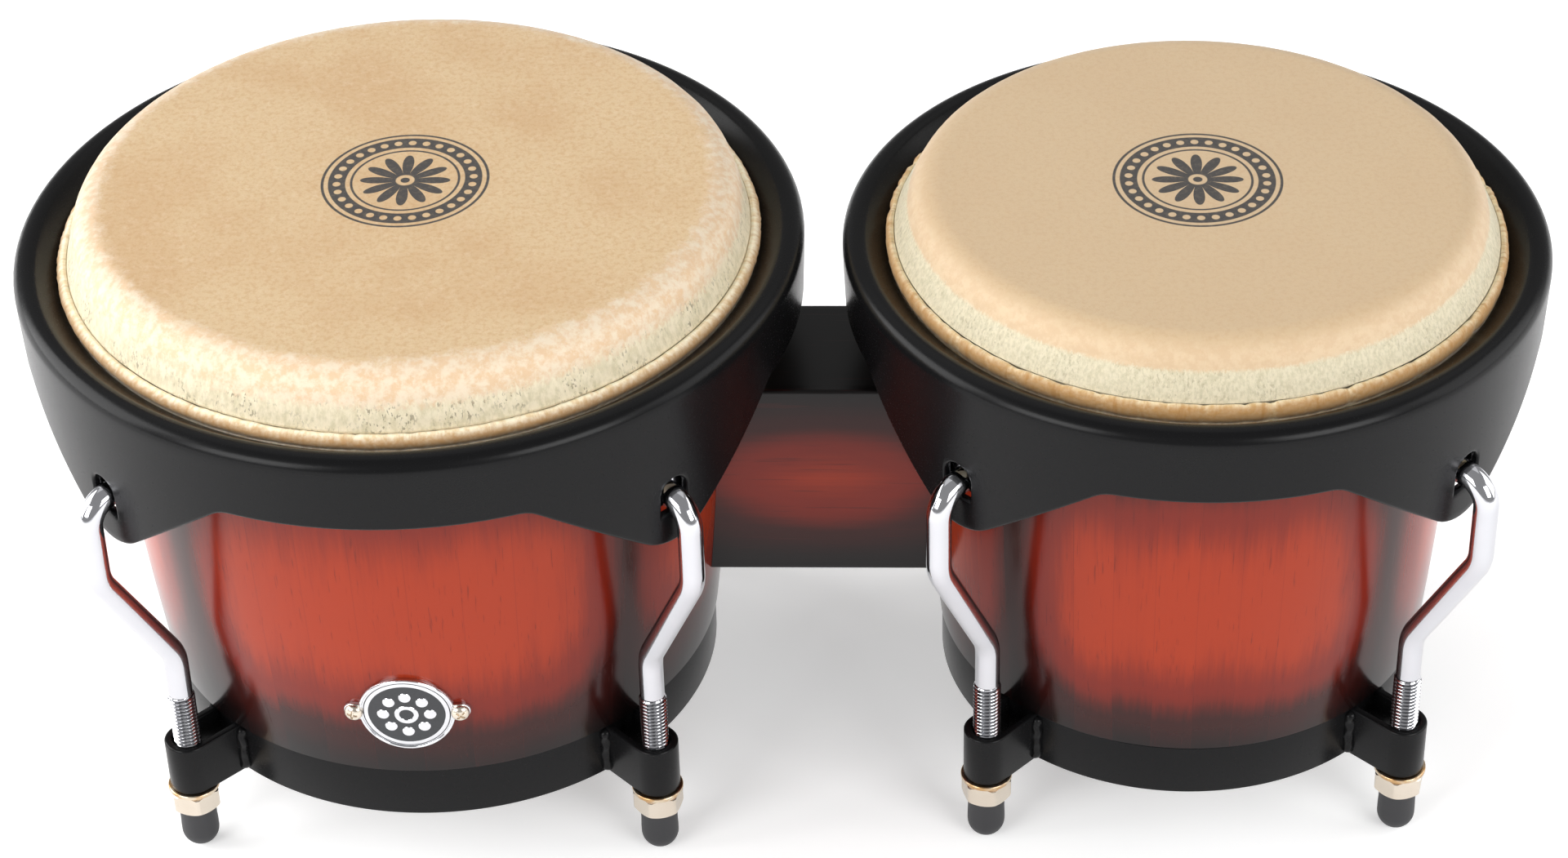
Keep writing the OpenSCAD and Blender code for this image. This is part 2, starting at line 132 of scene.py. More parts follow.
BADGE_EAR_R = 2.9


# --- Drums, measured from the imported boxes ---
class Drum:
    """One drum's axis, radii and lugs."""

    def __init__(self, name):
        rim_low, rim_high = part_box(f"{name}_rim")
        skin_low, skin_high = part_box(f"{name}_skin_head")
        band_low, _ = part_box(f"{name}_bottom_band")
        self.name = name
        self.x = (skin_low.x + skin_high.x) / 2 / MM
        self.lift = band_low.z / MM
        self.rim_r = (rim_high.x - rim_low.x) / 2 / MM - BOX_MARGIN
        self.head_z = skin_high.z / MM - self.lift
        self.hoop_r = (skin_high.x - skin_low.x) / 2 / MM - TUCK_R
        self.crease_r, self.crease_z = CREASE[name]
        self.lip_r = self.rim_r - LIP_INSET
        self.lean = COLLAR_LEAN[name]
        self.shoulder_z = self.head_z - SHOULDER_R
        slant = SHOULDER_R + (self.shoulder_z - self.crease_z) * math.sin(self.lean)
        self.flat_r = self.crease_r - slant / math.cos(self.lean)
        self.bottom_r = SHELL_BOTTOM_R[name]
        self.band_r = self.bottom_r + BAND_OUT
        top_r = SHELL_TOP_R[name]
        self.belly_z = SHELL_TOP_Z / 2 + (top_r - self.bottom_r) * BELLY_R / SHELL_TOP_Z
        self.belly_r = self.bottom_r + self.belly_z ** 2 / (2 * BELLY_R)
        self.lugs = []
        for i in (1, 2, 3, 4):
            low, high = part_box(f"{name}_lug_washer_{i}")
            x = (low.x + high.x) / 2 / MM - self.x
            y = (low.y + high.y) / 2 / MM
            self.lugs.append((math.atan2(y, x), math.hypot(x, y)))

    def shell_r(self, z):
        return self.belly_r - (z - self.belly_z) ** 2 / (2 * BELLY_R)

    def skirt_r(self, z):
        return self.rim_r - SKIRT_TAPER * (ROLL_Z - z) / (ROLL_Z - EAR_BOTTOM_Z)

    def frame_points(self, points):
        """Points in mm about this drum's axis, as metres in the frame."""
        return (np.asarray(points, float) + [self.x, 0, self.lift]) * MM


DRUMS = {name: Drum(name) for name in ("large", "small")}


# --- Mesh helpers ---
class Mesh:
    """Vertices and faces gathered from several closed shapes, turned into one object."""

    def __init__(self):
        self.verts = []
        self.faces = []
        self.slots = []

    def add(self, verts, faces, slot=0):
        base = len(self.verts)
        self.verts += [tuple(v) for v in verts]
        self.faces += [tuple(base + i for i in face) for face in faces]
        self.slots += [slot] * len(faces)

    def grid(self, points, wrap_rows=False, wrap_cols=False, slot=0):
        """Quads over an array of points, rows by columns, joined round where asked."""
        rows, cols = points.shape[:2]
        faces = []
        for i in range(rows if wrap_rows else rows - 1):
            for j in range(cols if wrap_cols else cols - 1):
                k, m = (i + 1) % rows, (j + 1) % cols
                faces.append((i * cols + j, i * cols + m, k * cols + m, k * cols + j))
        self.add(points.reshape(-1, 3), faces, slot)

    def tube(self, points):
        """A closed tube from rings of points, with a fan over each end."""
        rows, cols = points.shape[:2]
        count, last = rows * cols, (rows - 1) * cols
        self.grid(points, wrap_cols=True)
        fans = []
        for j in range(cols):
            m = (j + 1) % cols
            fans += [(m - count, j - count, 0), (last + j - count, last + m - count, 1)]
        self.add([points[0].mean(0), points[-1].mean(0)], fans)

    def object(self, name, sharp=35.0):
        mesh = bpy.data.meshes.new(name)
        mesh.from_pydata(self.verts, [], self.faces)
        mesh.polygons.foreach_set("material_index", self.slots)
        bm = bmesh.new()
        bm.from_mesh(mesh)
        bmesh.ops.remove_doubles(bm, verts=bm.verts, dist=1e-7)
        bmesh.ops.dissolve_degenerate(bm, edges=bm.edges, dist=1e-8)
        bmesh.ops.recalc_face_normals(bm, faces=bm.faces)
        bm.to_mesh(mesh)
        bm.free()
        obj = linked(name, mesh)
        smooth(obj, sharp)
        return obj


def linked(name, data):
    """A new object in the scene."""
    obj = bpy.data.objects.new(name, data)
    bpy.context.scene.collection.objects.link(obj)
    return obj


def turned_piece(name, points, wrap_rows=True, sharp=35.0):
    """An object from one grid of points that closes round its axis."""
    part = Mesh()
    part.grid(points, wrap_rows=wrap_rows, wrap_cols=True)
    return part.object(name, sharp)


def smooth(obj, sharp):
    """Smooth shading, kept crisp where faces meet at more than the given angle."""
    obj.data.polygons.foreach_set("use_smooth", [True] * len(obj.data.polygons))
    obj.data.set_sharp_from_angle(angle=math.radians(sharp))
    obj.data.update()


def around(count):
    """Angles spread evenly over a full turn."""
    return np.arange(count) * TAU / count


def revolve(profile, segments):
    """Grid of points, a row for each (radius, height) pair and a column for each angle."""
    profile = np.asarray(profile, float)
    angles = around(segments)
    r, z = profile[:, 0][:, None], profile[:, 1][:, None]
    return np.stack([r * np.cos(angles), r * np.sin(angles), z + 0 * angles], -1)


def arc(centre, r, start, end, steps):
    """Points along an arc, both ends included, with angles in radians."""
    a = np.linspace(start, end, steps + 1)
    return np.stack([centre[0] + r * np.cos(a), centre[1] + r * np.sin(a)], -1)


def rounded(points, radius, steps=4):
    """A closed outline with every corner rounded to the given radius."""
    out = []
    count = len(points)
    for i in range(count):
        before, corner, after = (np.array(points[k % count], float) for k in (i - 1, i, i + 1))
        a = (before - corner) / np.linalg.norm(before - corner)
        b = (after - corner) / np.linalg.norm(after - corner)
        half = math.acos(max(-1.0, min(1.0, float(a @ b)))) / 2
        reach = radius / math.tan(half)
        centre = corner + (a + b) / np.linalg.norm(a + b) * radius / math.sin(half)
        start, end = corner + a * reach - centre, corner + b * reach - centre
        for k in range(steps + 1):
            v = start * (1 - k / steps) + end * (k / steps)
            out.append(centre + v / np.linalg.norm(v) * radius)
    return np.array(out)


def rounded_box(left, right, low, high, radius, steps=4):
    return rounded([(left, low), (right, low), (right, high), (left, high)], radius, steps)


def turned(points, angle, x=0.0, y=0.0):
    """Points turned about the vertical axis, then moved."""
    c, s = math.cos(angle), math.sin(angle)
    px, py, pz = np.moveaxis(np.asarray(points, float), -1, 0)
    return np.stack([px * c - py * s + x, px * s + py * c + y, pz], -1)


def applied(obj):
    """Bakes an object's modifiers into its mesh."""
    graph = bpy.context.evaluated_depsgraph_get()
    mesh = bpy.data.meshes.new_from_object(obj.evaluated_get(graph))
    obj.modifiers.clear()
    obj.data = mesh
    return obj


def cut(obj, cutter):
    """Takes the cutter's volume out of obj and removes the cutter."""
    modifier = obj.modifiers.new("cut", "BOOLEAN")
    modifier.operation = "DIFFERENCE"
    modifier.solver = "EXACT"
    modifier.object = cutter
    bpy.context.view_layer.update()
    applied(obj)
    bpy.data.objects.remove(cutter)
    return obj


def place(obj, node, slot, *materials):
    """obj stands for a CAD node: it rides on that node's body and takes the given finish."""
    for material in materials:
        obj.data.materials.append(material)
    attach(obj, BODY_OF[node])
    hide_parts(node)


# --- Material helpers ---
class Shader:
    """A material on one Principled BSDF, with short names for the nodes that feed it."""

    def __init__(self, name, **settings):
        self.material = bpy.data.materials.new(name)
        self.material.use_nodes = True
        self.tree = self.material.node_tree
        self.bsdf = self.tree.nodes["Principled BSDF"]
        for key, value in settings.items():
            self.bsdf.inputs[key.replace("_", " ")].default_value = value
        self.point = self.tree.nodes.new("ShaderNodeTexCoord").outputs["Object"]

    def put(self, socket, value):
        if isinstance(value, bpy.types.NodeSocket):
            self.tree.links.new(value, socket)
        else:
            socket.default_value = value

    def node(self, kind, values, out=0, **settings):
        """One output of a new node, whose inputs are given by name or by number."""
        node = self.tree.nodes.new(f"ShaderNode{kind}")
        for key, value in settings.items():
            setattr(node, key, value)
        for key, value in values.items():
            self.put(node.inputs[key], value)
        return node.outputs[out]

    def math(self, operation, *values, clamp=False):
        return self.node("Math", dict(enumerate(values)), operation=operation, use_clamp=clamp)

    def times(self, a, b):
        return self.math("MULTIPLY", a, b)

    def plus(self, a, b, clamp=False):
        return self.math("ADD", a, b, clamp=clamp)

    def minus(self, a, b):
        return self.math("SUBTRACT", a, b)

    def absolute(self, a):
        return self.math("ABSOLUTE", a)

    def hypot(self, a, b):
        return self.math("SQRT", self.plus(self.times(a, a), self.times(b, b)))

    def swing(self, value, size):
        """A value from 0 to 1 as one that swings half of size to either side of 0."""
        return self.times(self.minus(value, 0.5), size)

    def vector(self, operation, *values):
        return self.node("VectorMath", dict(enumerate(values)), operation=operation)

    def about(self, x=0.0, y=0.0, z=0.0):
        """The shaded point in mm from a place given in mm."""
        scaled = self.vector("MULTIPLY", self.point, (1 / MM,) * 3)
        return self.vector("SUBTRACT", scaled, (x, y, z))

    def split(self, vector):
        node = self.tree.nodes.new("ShaderNodeSeparateXYZ")
        self.put(node.inputs[0], vector)
        return node.outputs

    def join(self, x, y, z):
        return self.node("CombineXYZ", {0: x, 1: y, 2: z})

    def step(self, value, low, high):
        """Rises smoothly from 0 at low to 1 at high, which may be the smaller of the two."""
        start, end = (1.0, 0.0) if low > high else (0.0, 1.0)
        limits = {"From Min": min(low, high), "From Max": max(low, high), "To Min": start, "To Max": end}
        return self.node("MapRange", {"Value": value, **limits}, "Result", interpolation_type="SMOOTHSTEP")

    def noise(self, vector, scale, detail=3.0, roughness=0.5):
        """Noise from about 0 to 1, with cells about 1 / scale mm across."""
        values = {"Vector": vector, "Scale": scale, "Detail": detail, "Roughness": roughness}
        return self.node("TexNoise", values)

    def mix(self, amount, a, b):
        return self.node("Mix", {0: amount, 6: a, 7: b}, 2, data_type="RGBA")

    def ramp(self, value, *stops):
        node = self.tree.nodes.new("ShaderNodeValToRGB")
        node.color_ramp.interpolation = "EASE"
        elements = node.color_ramp.elements
        for (position, colour), index in zip(stops, range(len(stops))):
            element = elements[index] if index < 2 else elements.new(position)
            element.position = position
            element.color = colour
        self.put(node.inputs[0], value)
        return node.outputs[0]

    def bump(self, height, distance):
        values = {"Strength": 1.0, "Distance": distance * MM, "Height": height}
        self.set("Normal", self.node("Bump", values))

    def set(self, name, value):
        self.put(self.bsdf.inputs[name], value)


def rgb(r, g, b):
    """A colour given as 0 to 255 on screen, as the shader needs it."""
    def linear(c):
        c /= 255
        return c / 12.92 if c <= 0.04045 else ((c + 0.055) / 1.055) ** 2.4
    return (linear(r), linear(g), linear(b), 1.0)


# --- Materials ---
BURST = ((0.0, rgb(15, 11, 11)), (0.28, rgb(48, 15, 12)), (0.6, rgb(112, 28, 13)), (1.0, rgb(150, 45, 11)))
STAVE_W = {"large": 15.0, "small": 12.0}
STAVES = {name: round(TAU * DRUMS[name].belly_r / STAVE_W[name]) for name in DRUMS}
GRAIN_DARK = 0.42
GRAIN_RELIEF = 0.02
STAVE_TINT = 0.09
JOINT_EDGE = (0.488, 0.499)
JOINT_DARK = 0.28
# painted shade: how far the lacquer level falls in the middle of the dark stripe at each lug
LUG_SHADE_LOWEST = 0.2
BLOCK_BURST = 0.9
BURST_LOW = {"large": (10.0, 70.0), "small": (8.0, 64.0)}
# darker towards the top of each shell: partly the sunburst, partly painted shadow of the rim over it
TOP_BURST_AND_RIM_SHADE = {"large": (148.0, 82.0), "small": (143.0, 75.0)}
# painted shade: distances across from each lug over which the dark stripe fades out
LUG_SHADE = (-8.0, 28.0)


def lacquered_wood(shader, lacquer_level, along, fine, long, tone):
    """Sunburst lacquer over straight grain at the given lacquer level, which on the shells also carries
    painted shade: along is the point with the grain drawn out.
    """
    grain = shader.noise(along, fine, 6.0, 0.62)
    wide = shader.noise(along, fine / 6, 3.0, 0.5)
    pores = shader.noise(along, fine * 1.7, 2.0, 0.6)
    pore = shader.step(pores, 0.63, 0.72)
    cloud = shader.noise(shader.about(), long, 2.0)
    uneven = shader.swing(wide, 0.30)
    uneven = shader.plus(uneven, shader.swing(cloud, 0.22))
    uneven = shader.plus(uneven, shader.swing(grain, tone))
    # the grain fades out where the lacquer is black, in the burst and, on the shells, in the painted shade
    value = shader.plus(lacquer_level, shader.times(uneven, lacquer_level), clamp=True)
    colour = shader.ramp(value, *BURST)
    wood = shader.mix(shader.times(pore, GRAIN_DARK), colour, rgb(60, 16, 12))
    shader.bump(shader.plus(shader.times(grain, 0.4), shader.times(pore, -0.5)), GRAIN_RELIEF)
    return wood


def stave_wood(drum):
    shader = Shader(f"{drum.name}_stave_lacquer", Roughness=0.17, IOR=1.35)
    point = shader.about(drum.x, 0, drum.lift)
    x, y, z = shader.split(point)
    angle = shader.math("ARCTAN2", y, x)
    first_lug = drum.lugs[0][0]
    quarters = shader.math("DIVIDE", shader.minus(angle, first_lug), TAU / 4)
    quarter = shader.math("FRACT", shader.plus(quarters, 4.5))
    from_lug = shader.times(shader.absolute(shader.minus(quarter, 0.5)), TAU / 4 * drum.belly_r)
    wobble = shader.swing(shader.noise(point, 0.02, 1.0), 5.0)
    height = shader.plus(z, wobble)
    low = shader.step(height, *BURST_LOW[drum.name])
    # painted shadow of the rim, with the sunburst's own darkening, towards the top of the shell
    high = shader.step(height, *TOP_BURST_AND_RIM_SHADE[drum.name])
    # painted shade: a soft dark stripe down the shell at each lug
    lug = shader.step(shader.plus(from_lug, wobble), *LUG_SHADE)
    lug = shader.plus(LUG_SHADE_LOWEST, shader.times(lug, 1 - LUG_SHADE_LOWEST))
    # the lacquer level: the sunburst, with painted shade at the top under the rim and in a stripe at each
    # lug
    lacquer_level = shader.times(shader.times(low, high), lug)
    along = shader.join(x, y, shader.math("DIVIDE", z, 34.0))
    staves = shader.times(shader.math("DIVIDE", angle, TAU), STAVES[drum.name])
    tint = shader.node("TexWhiteNoise", {"W": shader.math("FLOOR", staves)}, "Value", noise_dimensions="1D")
    tinted = shader.plus(lacquer_level, shader.swing(tint, STAVE_TINT))
    wood = lacquered_wood(shader, tinted, along, 0.9, 0.016, 0.34)
    joint = shader.absolute(shader.minus(shader.math("FRACT", staves), 0.5))
    joint = shader.times(shader.step(joint, *JOINT_EDGE), JOINT_DARK)
    shader.set("Base Color", shader.mix(joint, wood, rgb(70, 20, 16)))
    return shader.material


def block_wood():
    shader = Shader("block_lacquer", Roughness=0.3, IOR=1.36)
    low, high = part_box("centre_block")
    centre = (low + high) / 2 / MM
    half = (high - low) / 2 / MM
    point = shader.about(*centre)
    x, y, z = shader.split(point)
    front = shader.step(shader.absolute(y), half.y - 2.5, half.y - 0.6)
    edge_z = shader.step(shader.absolute(shader.minus(z, 1.0)), half.z + 2.0, -4.0)
    edge_x = shader.step(shader.absolute(x), half.x + 40.0, -4.0)
    lacquer_level = shader.times(front, shader.times(shader.times(edge_z, edge_x), BLOCK_BURST))
    along = shader.join(shader.math("DIVIDE", x, 30.0), y, z)
    shader.set("Base Color", lacquered_wood(shader, lacquer_level, along, 0.6, 0.02, 0.3))
    return shader.material


def finish(name, colours, tone, fine, relief, roughness=None, tone_edges=None, **settings):
    """An even finish. The tone noise (or the fine one) mixes the colours, sharply if given edges;
    the fine one makes the relief, and adds to the roughness where a base and a share are given."""
    shader = Shader(name, **settings)
    point = shader.about()
    fine = shader.noise(point, *fine)
    tone = shader.noise(point, *tone) if tone else fine
    amount = shader.step(tone, *tone_edges) if tone_edges else tone
    shader.set("Base Color", shader.mix(amount, *colours))
    if roughness:
        base, added = roughness
        shader.set("Roughness", shader.plus(base, shader.times(fine, added)))
    shader.bump(fine, relief)
    return shader.material


def plated(name, colour, deep, roughness, wear):
    """Plated metal with faint uneven tone and polishing marks."""
    tone, fine = (0.12, 3.0), (1.3, 3.0)
    look = {"Metallic": 1.0, "Roughness": roughness}
    return finish(name, (colour, deep), tone, fine, 0.004, (roughness, wear), **look)


HEAD_LOOK = {
    "large": {
        "hide": (rgb(210, 182, 141), rgb(188, 142, 92), rgb(223, 199, 165)),
        "ring": (rgb(228, 213, 190), rgb(219, 188, 153)),
        "collar": (rgb(228, 216, 188), rgb(206, 195, 163)),
        "root": (rgb(124, 114, 92), 0.7),
        "tuck": (rgb(252, 242, 214), rgb(242, 220, 178)),
        "ring_from": (82.5, 87.5),
        "collar_from": (155.5, 152.5),
        "ragged": 1.0,
        "fibre": 0.42,
        "fleck": 0.6,
        "amber": (1.0, 3.1),
        "fold": 0.25,
    },
    "small": {
        "hide": (rgb(202, 176, 140), rgb(188, 152, 114), rgb(210, 187, 154)),
        "ring": (rgb(212, 188, 155), rgb(204, 176, 142)),
        "collar": (rgb(214, 204, 177), rgb(193, 184, 155)),
        "root": (rgb(146, 136, 110), 0.4),
        "tuck": (rgb(246, 230, 192), rgb(234, 206, 154)),
        "ring_from": (73.5, 78.5),
        "collar_from": (156.4, 155.0),
        "ragged": 0.3,
        "fibre": 0.3,
        "fleck": 1.1,
        "amber": (0.2, 2.3),
        "fold": 0.5,
    },
}
PRINT_DOTS = 30
DOT_RING_R = 19.0
DOT_EDGE = (0.95, 1.25)
DOT_BAND = (16.6, 21.4)
PRINT_RINGS = ((22.6, 23.4), (14.6, 15.3))
PETAL_PAIRS = 6
PETAL_ROOT = 3.4
PETAL_LEN = 9.2
PRINT_SOFT = 0.15
PRINT_INK = rgb(44, 42, 42)


def head_print(shader, x, y, radius):
    """Mask of a printed rosette: a dotted band between two thin rings, then twelve petals and a dot."""
    angle = shader.math("ARCTAN2", y, x)

    def band(inner, outer):
        inside = shader.step(radius, inner - PRINT_SOFT, inner + PRINT_SOFT)
        return shader.times(inside, shader.step(radius, outer + PRINT_SOFT, outer - PRINT_SOFT))

    cell = shader.minus(shader.math("FRACT", shader.times(angle, PRINT_DOTS / TAU)), 0.5)
    across = shader.times(cell, TAU * DOT_RING_R / PRINT_DOTS)
    dot = shader.step(shader.hypot(across, shader.minus(radius, DOT_RING_R)), *DOT_EDGE)
    mask = shader.times(band(*DOT_BAND), dot)
    for ring in PRINT_RINGS:
        mask = shader.math("MAXIMUM", mask, band(*ring))
    wave = shader.absolute(shader.math("COSINE", shader.times(angle, PETAL_PAIRS)))
    reach = shader.plus(PETAL_ROOT, shader.times(shader.math("POWER", wave, 0.7), PETAL_LEN))
    petal = shader.step(shader.minus(radius, reach), 0.2, -0.2)
    hole = shader.step(radius, 2.4, 2.8)
    mask = shader.math("MAXIMUM", mask, shader.times(petal, hole))
    return shader.math("MAXIMUM", mask, band(-1.0, 1.3))


def rawhide(drum):
    look = HEAD_LOOK[drum.name]
    shader = Shader(f"{drum.name}_rawhide", Roughness=0.62, IOR=1.45)
    shader.set("Sheen Weight", 0.15)
    shader.set("Subsurface Weight", 0.08)
    shader.set("Subsurface Radius", (0.9, 0.5, 0.25))
    shader.set("Subsurface Scale", 1.5 * MM)
    point = shader.about(drum.x, 0, drum.lift)
    x, y, z = shader.split(point)
    radius = shader.hypot(x, y)
    cloud = shader.noise(point, 0.022, 4.0, 0.55)
    blotch = shader.noise(point, 0.34, 5.0, 0.68)
    fibre = shader.noise(point, 0.62, 5.0, 0.7)
    speck = shader.noise(point, 1.5, 2.0, 0.6)
    # playing surface
    tan, amber, pale = look["hide"]
    mottle = look["ragged"]
    hide = shader.mix(shader.times(shader.step(cloud, 0.42, 0.68), 0.35 * mottle), tan, amber)
    hide = shader.mix(shader.times(shader.step(blotch, 0.5, 0.7), 0.32 * mottle), hide, pale)
    hide = shader.mix(shader.times(shader.step(fibre, 0.44, 0.64), look["fibre"]), hide, amber)
    # frosty ring over the shoulder
    ragged = shader.swing(shader.noise(point, 0.22, 5.0, 0.74), 12.0 * mottle)
    ringed = shader.step(shader.plus(radius, ragged), *look["ring_from"])
    ring = shader.mix(shader.step(blotch, 0.38, 0.62), *look["ring"])
    colour = shader.mix(shader.times(ringed, 0.85), hide, ring)
    # collar, with short flecks and hair roots drawn out down it
    angle = shader.math("ARCTAN2", y, x)
    around = shader.times(angle, drum.crease_r)
    drawn = shader.join(around, shader.times(z, 0.4), radius)
    fleck = shader.noise(drawn, look["fleck"], 4.0, 0.7)
    root = shader.noise(drawn, 1.3, 2.0, 0.6)
    collar_amount = shader.step(shader.plus(z, shader.swing(fleck, 9.0 * mottle)), *look["collar_from"])
    collar = shader.mix(shader.step(fleck, 0.36, 0.68), *look["collar"])
    root_colour, root_amount = look["root"]
    patches = shader.step(shader.noise(point, 0.1, 3.0), 0.4, 0.6)
    rooted = shader.times(shader.step(root, 0.55, 0.64), patches)
    collar = shader.mix(shader.times(rooted, root_amount), collar, root_colour)
    colour = shader.mix(collar_amount, colour, collar)
    # tuck round the hoop: soft fibres, amber only where it meets the rim
    hair = shader.noise(shader.join(around, z, shader.times(radius, 0.35)), 0.7, 4.0, 0.6)
    tuck = shader.mix(shader.step(hair, 0.38, 0.68), *look["tuck"])
    fold = shader.noise(shader.join(around, shader.times(z, 0.2), 0.0), 0.42, 3.0, 0.6)
    fold = shader.times(shader.step(fold, 0.55, 0.68), look["fold"])
    tuck = shader.mix(fold, tuck, rgb(184, 138, 78))
    past_crease = shader.minus(radius, drum.crease_r)
    amber_in = shader.step(shader.plus(past_crease, shader.swing(hair, 1.2)), *look["amber"])
    tuck = shader.mix(shader.times(amber_in, 0.8), tuck, rgb(168, 116, 50))
    tucked = shader.step(radius, drum.crease_r + 0.05, drum.crease_r + 0.3)
    # painted shade: a faint darker line along the crease, where the skin turns down into the slit
    off_crease = shader.absolute(shader.minus(radius, drum.crease_r + 0.1))
    near_crease = shader.step(off_crease, 0.3, 0.1)
    crease_shade = shader.times(near_crease, shader.step(z, drum.crease_z + 0.8, drum.crease_z + 0.2))
    colour = shader.mix(tucked, colour, tuck)
    colour = shader.mix(shader.times(crease_shade, 0.15), colour, rgb(112, 82, 46))
    # print
    top = shader.step(z, drum.head_z - 0.3, drum.head_z - 0.1)
    ink = shader.times(head_print(shader, x, y, radius), top)
    worn = shader.plus(0.9, shader.times(shader.step(fibre, 0.3, 0.55), 0.08))
    colour = shader.mix(shader.times(ink, worn), colour, PRINT_INK)
    shader.set("Base Color", colour)
    height = shader.plus(shader.times(fibre, 0.7), shader.times(speck, 0.3))
    height = shader.plus(height, shader.times(shader.times(hair, tucked), 1.4))
    shader.bump(height, 0.12)
    return shader.material


POWDER = finish(
    "black_powder_coat", (rgb(12, 12, 13), rgb(18, 18, 19)), (0.02, 2.0), (1.6, 2.0, 0.6), 0.012,
    (0.22, 0.08), Roughness=0.26, IOR=1.25,
)
# painted shade in the thread's grooves: a darker, rougher grey than the chrome
GROOVE_SHADE = plated("thread_groove", rgb(84, 84, 88), rgb(66, 66, 70), 0.35, 0.1)
CHROME = plated("rod_chrome", rgb(212, 212, 216), rgb(204, 205, 210), 0.06, 0.04)
NICKEL = plated("nut_nickel", rgb(226, 216, 202), rgb(206, 194, 178), 0.2, 0.1)
ZINC = finish(
    "yellowed_zinc", (rgb(196, 158, 112), rgb(214, 200, 178)), (0.25, 3.0), (1.4, 2.0), 0.006,
    tone_edges=(0.4, 0.65), Metallic=1.0, Roughness=0.24,
)
RUBBER = finish(
    "cap_rubber", (rgb(30, 30, 32), rgb(44, 44, 47)), None, (2.2, 3.0, 0.6), 0.03,
    (0.46, 0.2), Roughness=0.55, IOR=1.5,
)
STEEL = plated("bolt_steel", rgb(206, 206, 208), rgb(186, 186, 190), 0.28, 0.12)
HOOP_STEEL = plated("hoop_steel", rgb(196, 196, 198), rgb(172, 172, 176), 0.34, 0.12)
BRASS = plated("insert_brass", rgb(214, 178, 104), rgb(196, 158, 88), 0.28, 0.12)
BADGE_CHROME = plated("badge_chrome", rgb(224, 225, 228), rgb(212, 213, 217), 0.1, 0.05)
ENAMEL = finish(
    "badge_enamel", (rgb(32, 34, 37), rgb(46, 48, 52)), None, (1.5, 2.0), 0.004, Roughness=0.3,
)
WOOD = {name: stave_wood(DRUMS[name]) for name in DRUMS}
BLOCK_WOOD = block_wood()
HIDE = {name: rawhide(DRUMS[name]) for name in DRUMS}


# --- Shells ---
ROUND_SEGMENTS = 288
TOP_ROUND_R = 6.0
TOP_BEVEL = 3.0
BAND_SEAT_GAP = 0.3
SEAT_EDGE = 0.3
SEAT_STEP = 0.01
SPOT_FACE_R = 10.5
SPOT_FACE_DEPTH = 1.4
BOLT_HOLE_R = 4.2
BOLT_HOLE_PAST = 6.0
CUTTER_FROM_X = 20.0


def build_shell(drum):
    seat_r = drum.band_r - BAND_T
    seat_z = BAND_H + BAND_SEAT_GAP
    top_r = drum.shell_r(SHELL_TOP_Z)
    heights = np.linspace(seat_z, SHELL_TOP_Z - TOP_ROUND_R, 48)
    outside = [(drum.shell_r(z), z) for z in heights[1:-1]]
    corner = arc((top_r - TOP_ROUND_R, SHELL_TOP_Z - TOP_ROUND_R), TOP_ROUND_R, 0, TAU / 4, 8)
    inner = [(drum.shell_r(z) - STAVE_T, z) for z in np.linspace(SHELL_TOP_Z - TOP_BEVEL, SHELL_LIFT, 30)]
    foot_r = drum.shell_r(seat_z)
    profile = [(seat_r, SHELL_LIFT), (seat_r, seat_z - SEAT_STEP)]
    profile += [(foot_r - SEAT_EDGE, seat_z), (foot_r, seat_z + SEAT_EDGE)]
    profile += outside + [tuple(p) for p in corner] + [(top_r - STAVE_T + TOP_BEVEL, SHELL_TOP_Z)] + inner
    points = drum.frame_points(revolve(profile, ROUND_SEGMENTS))
    shell = turned_piece(f"{drum.name}_lacquered_shell", points)
    # holes and spot faces for the screws that hold the block
    cutter = Mesh()
    side = 1.0 if drum.name == "large" else -1.0
    for z in BOLT_HEIGHTS:
        face = drum.shell_r(z) - STAVE_T + SPOT_FACE_DEPTH
        for r, reach in ((SPOT_FACE_R, face), (BOLT_HOLE_R, drum.shell_r(z) + BOLT_HOLE_PAST)):
            ring = arc((0, 0), r, 0, TAU, 48)[:-1]
            tube = np.array([[(side * x, p[0], z + p[1]) for p in ring] for x in (CUTTER_FROM_X, reach)])
            cutter.tube(drum.frame_points(tube))
    bpy.context.view_layer.update()
    shell = cut(shell, cutter.object(f"{drum.name}_bolt_cutter"))
    smooth(shell, 35.0)
    place(shell, f"{drum.name}_shell", "stave_wood", WOOD[drum.name])


# --- Bottom bands with their brackets and welds ---
STRAP_ARC_STEPS = 20
BAND_EDGE_R = 0.55
STRAP_EDGE_R = 0.7


def build_band(drum):
    part = Mesh()
    ring = rounded_box(drum.band_r - BAND_T, drum.band_r, 0, BAND_H, BAND_EDGE_R)
    part.grid(drum.frame_points(revolve(ring, ROUND_SEGMENTS)), wrap_rows=True, wrap_cols=True)
    middle = EYE_R + STRAP_T / 2
    section = rounded_box(-STRAP_T / 2, STRAP_T / 2, 0, BAND_H, STRAP_EDGE_R)
    for number, (angle, lug_r) in enumerate(drum.lugs):
        start = drum.band_r - BAND_T * 0.6
        path = [((x, -middle), (0.0, -1.0)) for x in np.linspace(start, lug_r, 6)[:-1]]
        for a in np.linspace(-TAU / 4, TAU / 4, STRAP_ARC_STEPS + 1):
            out = (math.cos(a), math.sin(a))
            path.append(((lug_r + middle * out[0], middle * out[1]), out))
        path += [((x, middle), (0.0, 1.0)) for x in np.linspace(lug_r, start, 6)[1:]]
        strap = np.array([[(p[0] + o * n[0], p[1] + o * n[1], z) for o, z in section] for p, n in path])
        part.tube(drum.frame_points(turned(strap, angle)))
        for side in (-1, 1):
            part.tube(drum.frame_points(turned(weld_bead(drum, side, number), angle)))
    band = part.object(f"{drum.name}_band_and_brackets")
    place(band, f"{drum.name}_bottom_band", "black_steel", POWDER)


WELD_R = 1.75
WELD_LUMP = 0.5
WELD_END = 0.7
WELD_OFF = 0.1
WELD_SIDES = 20


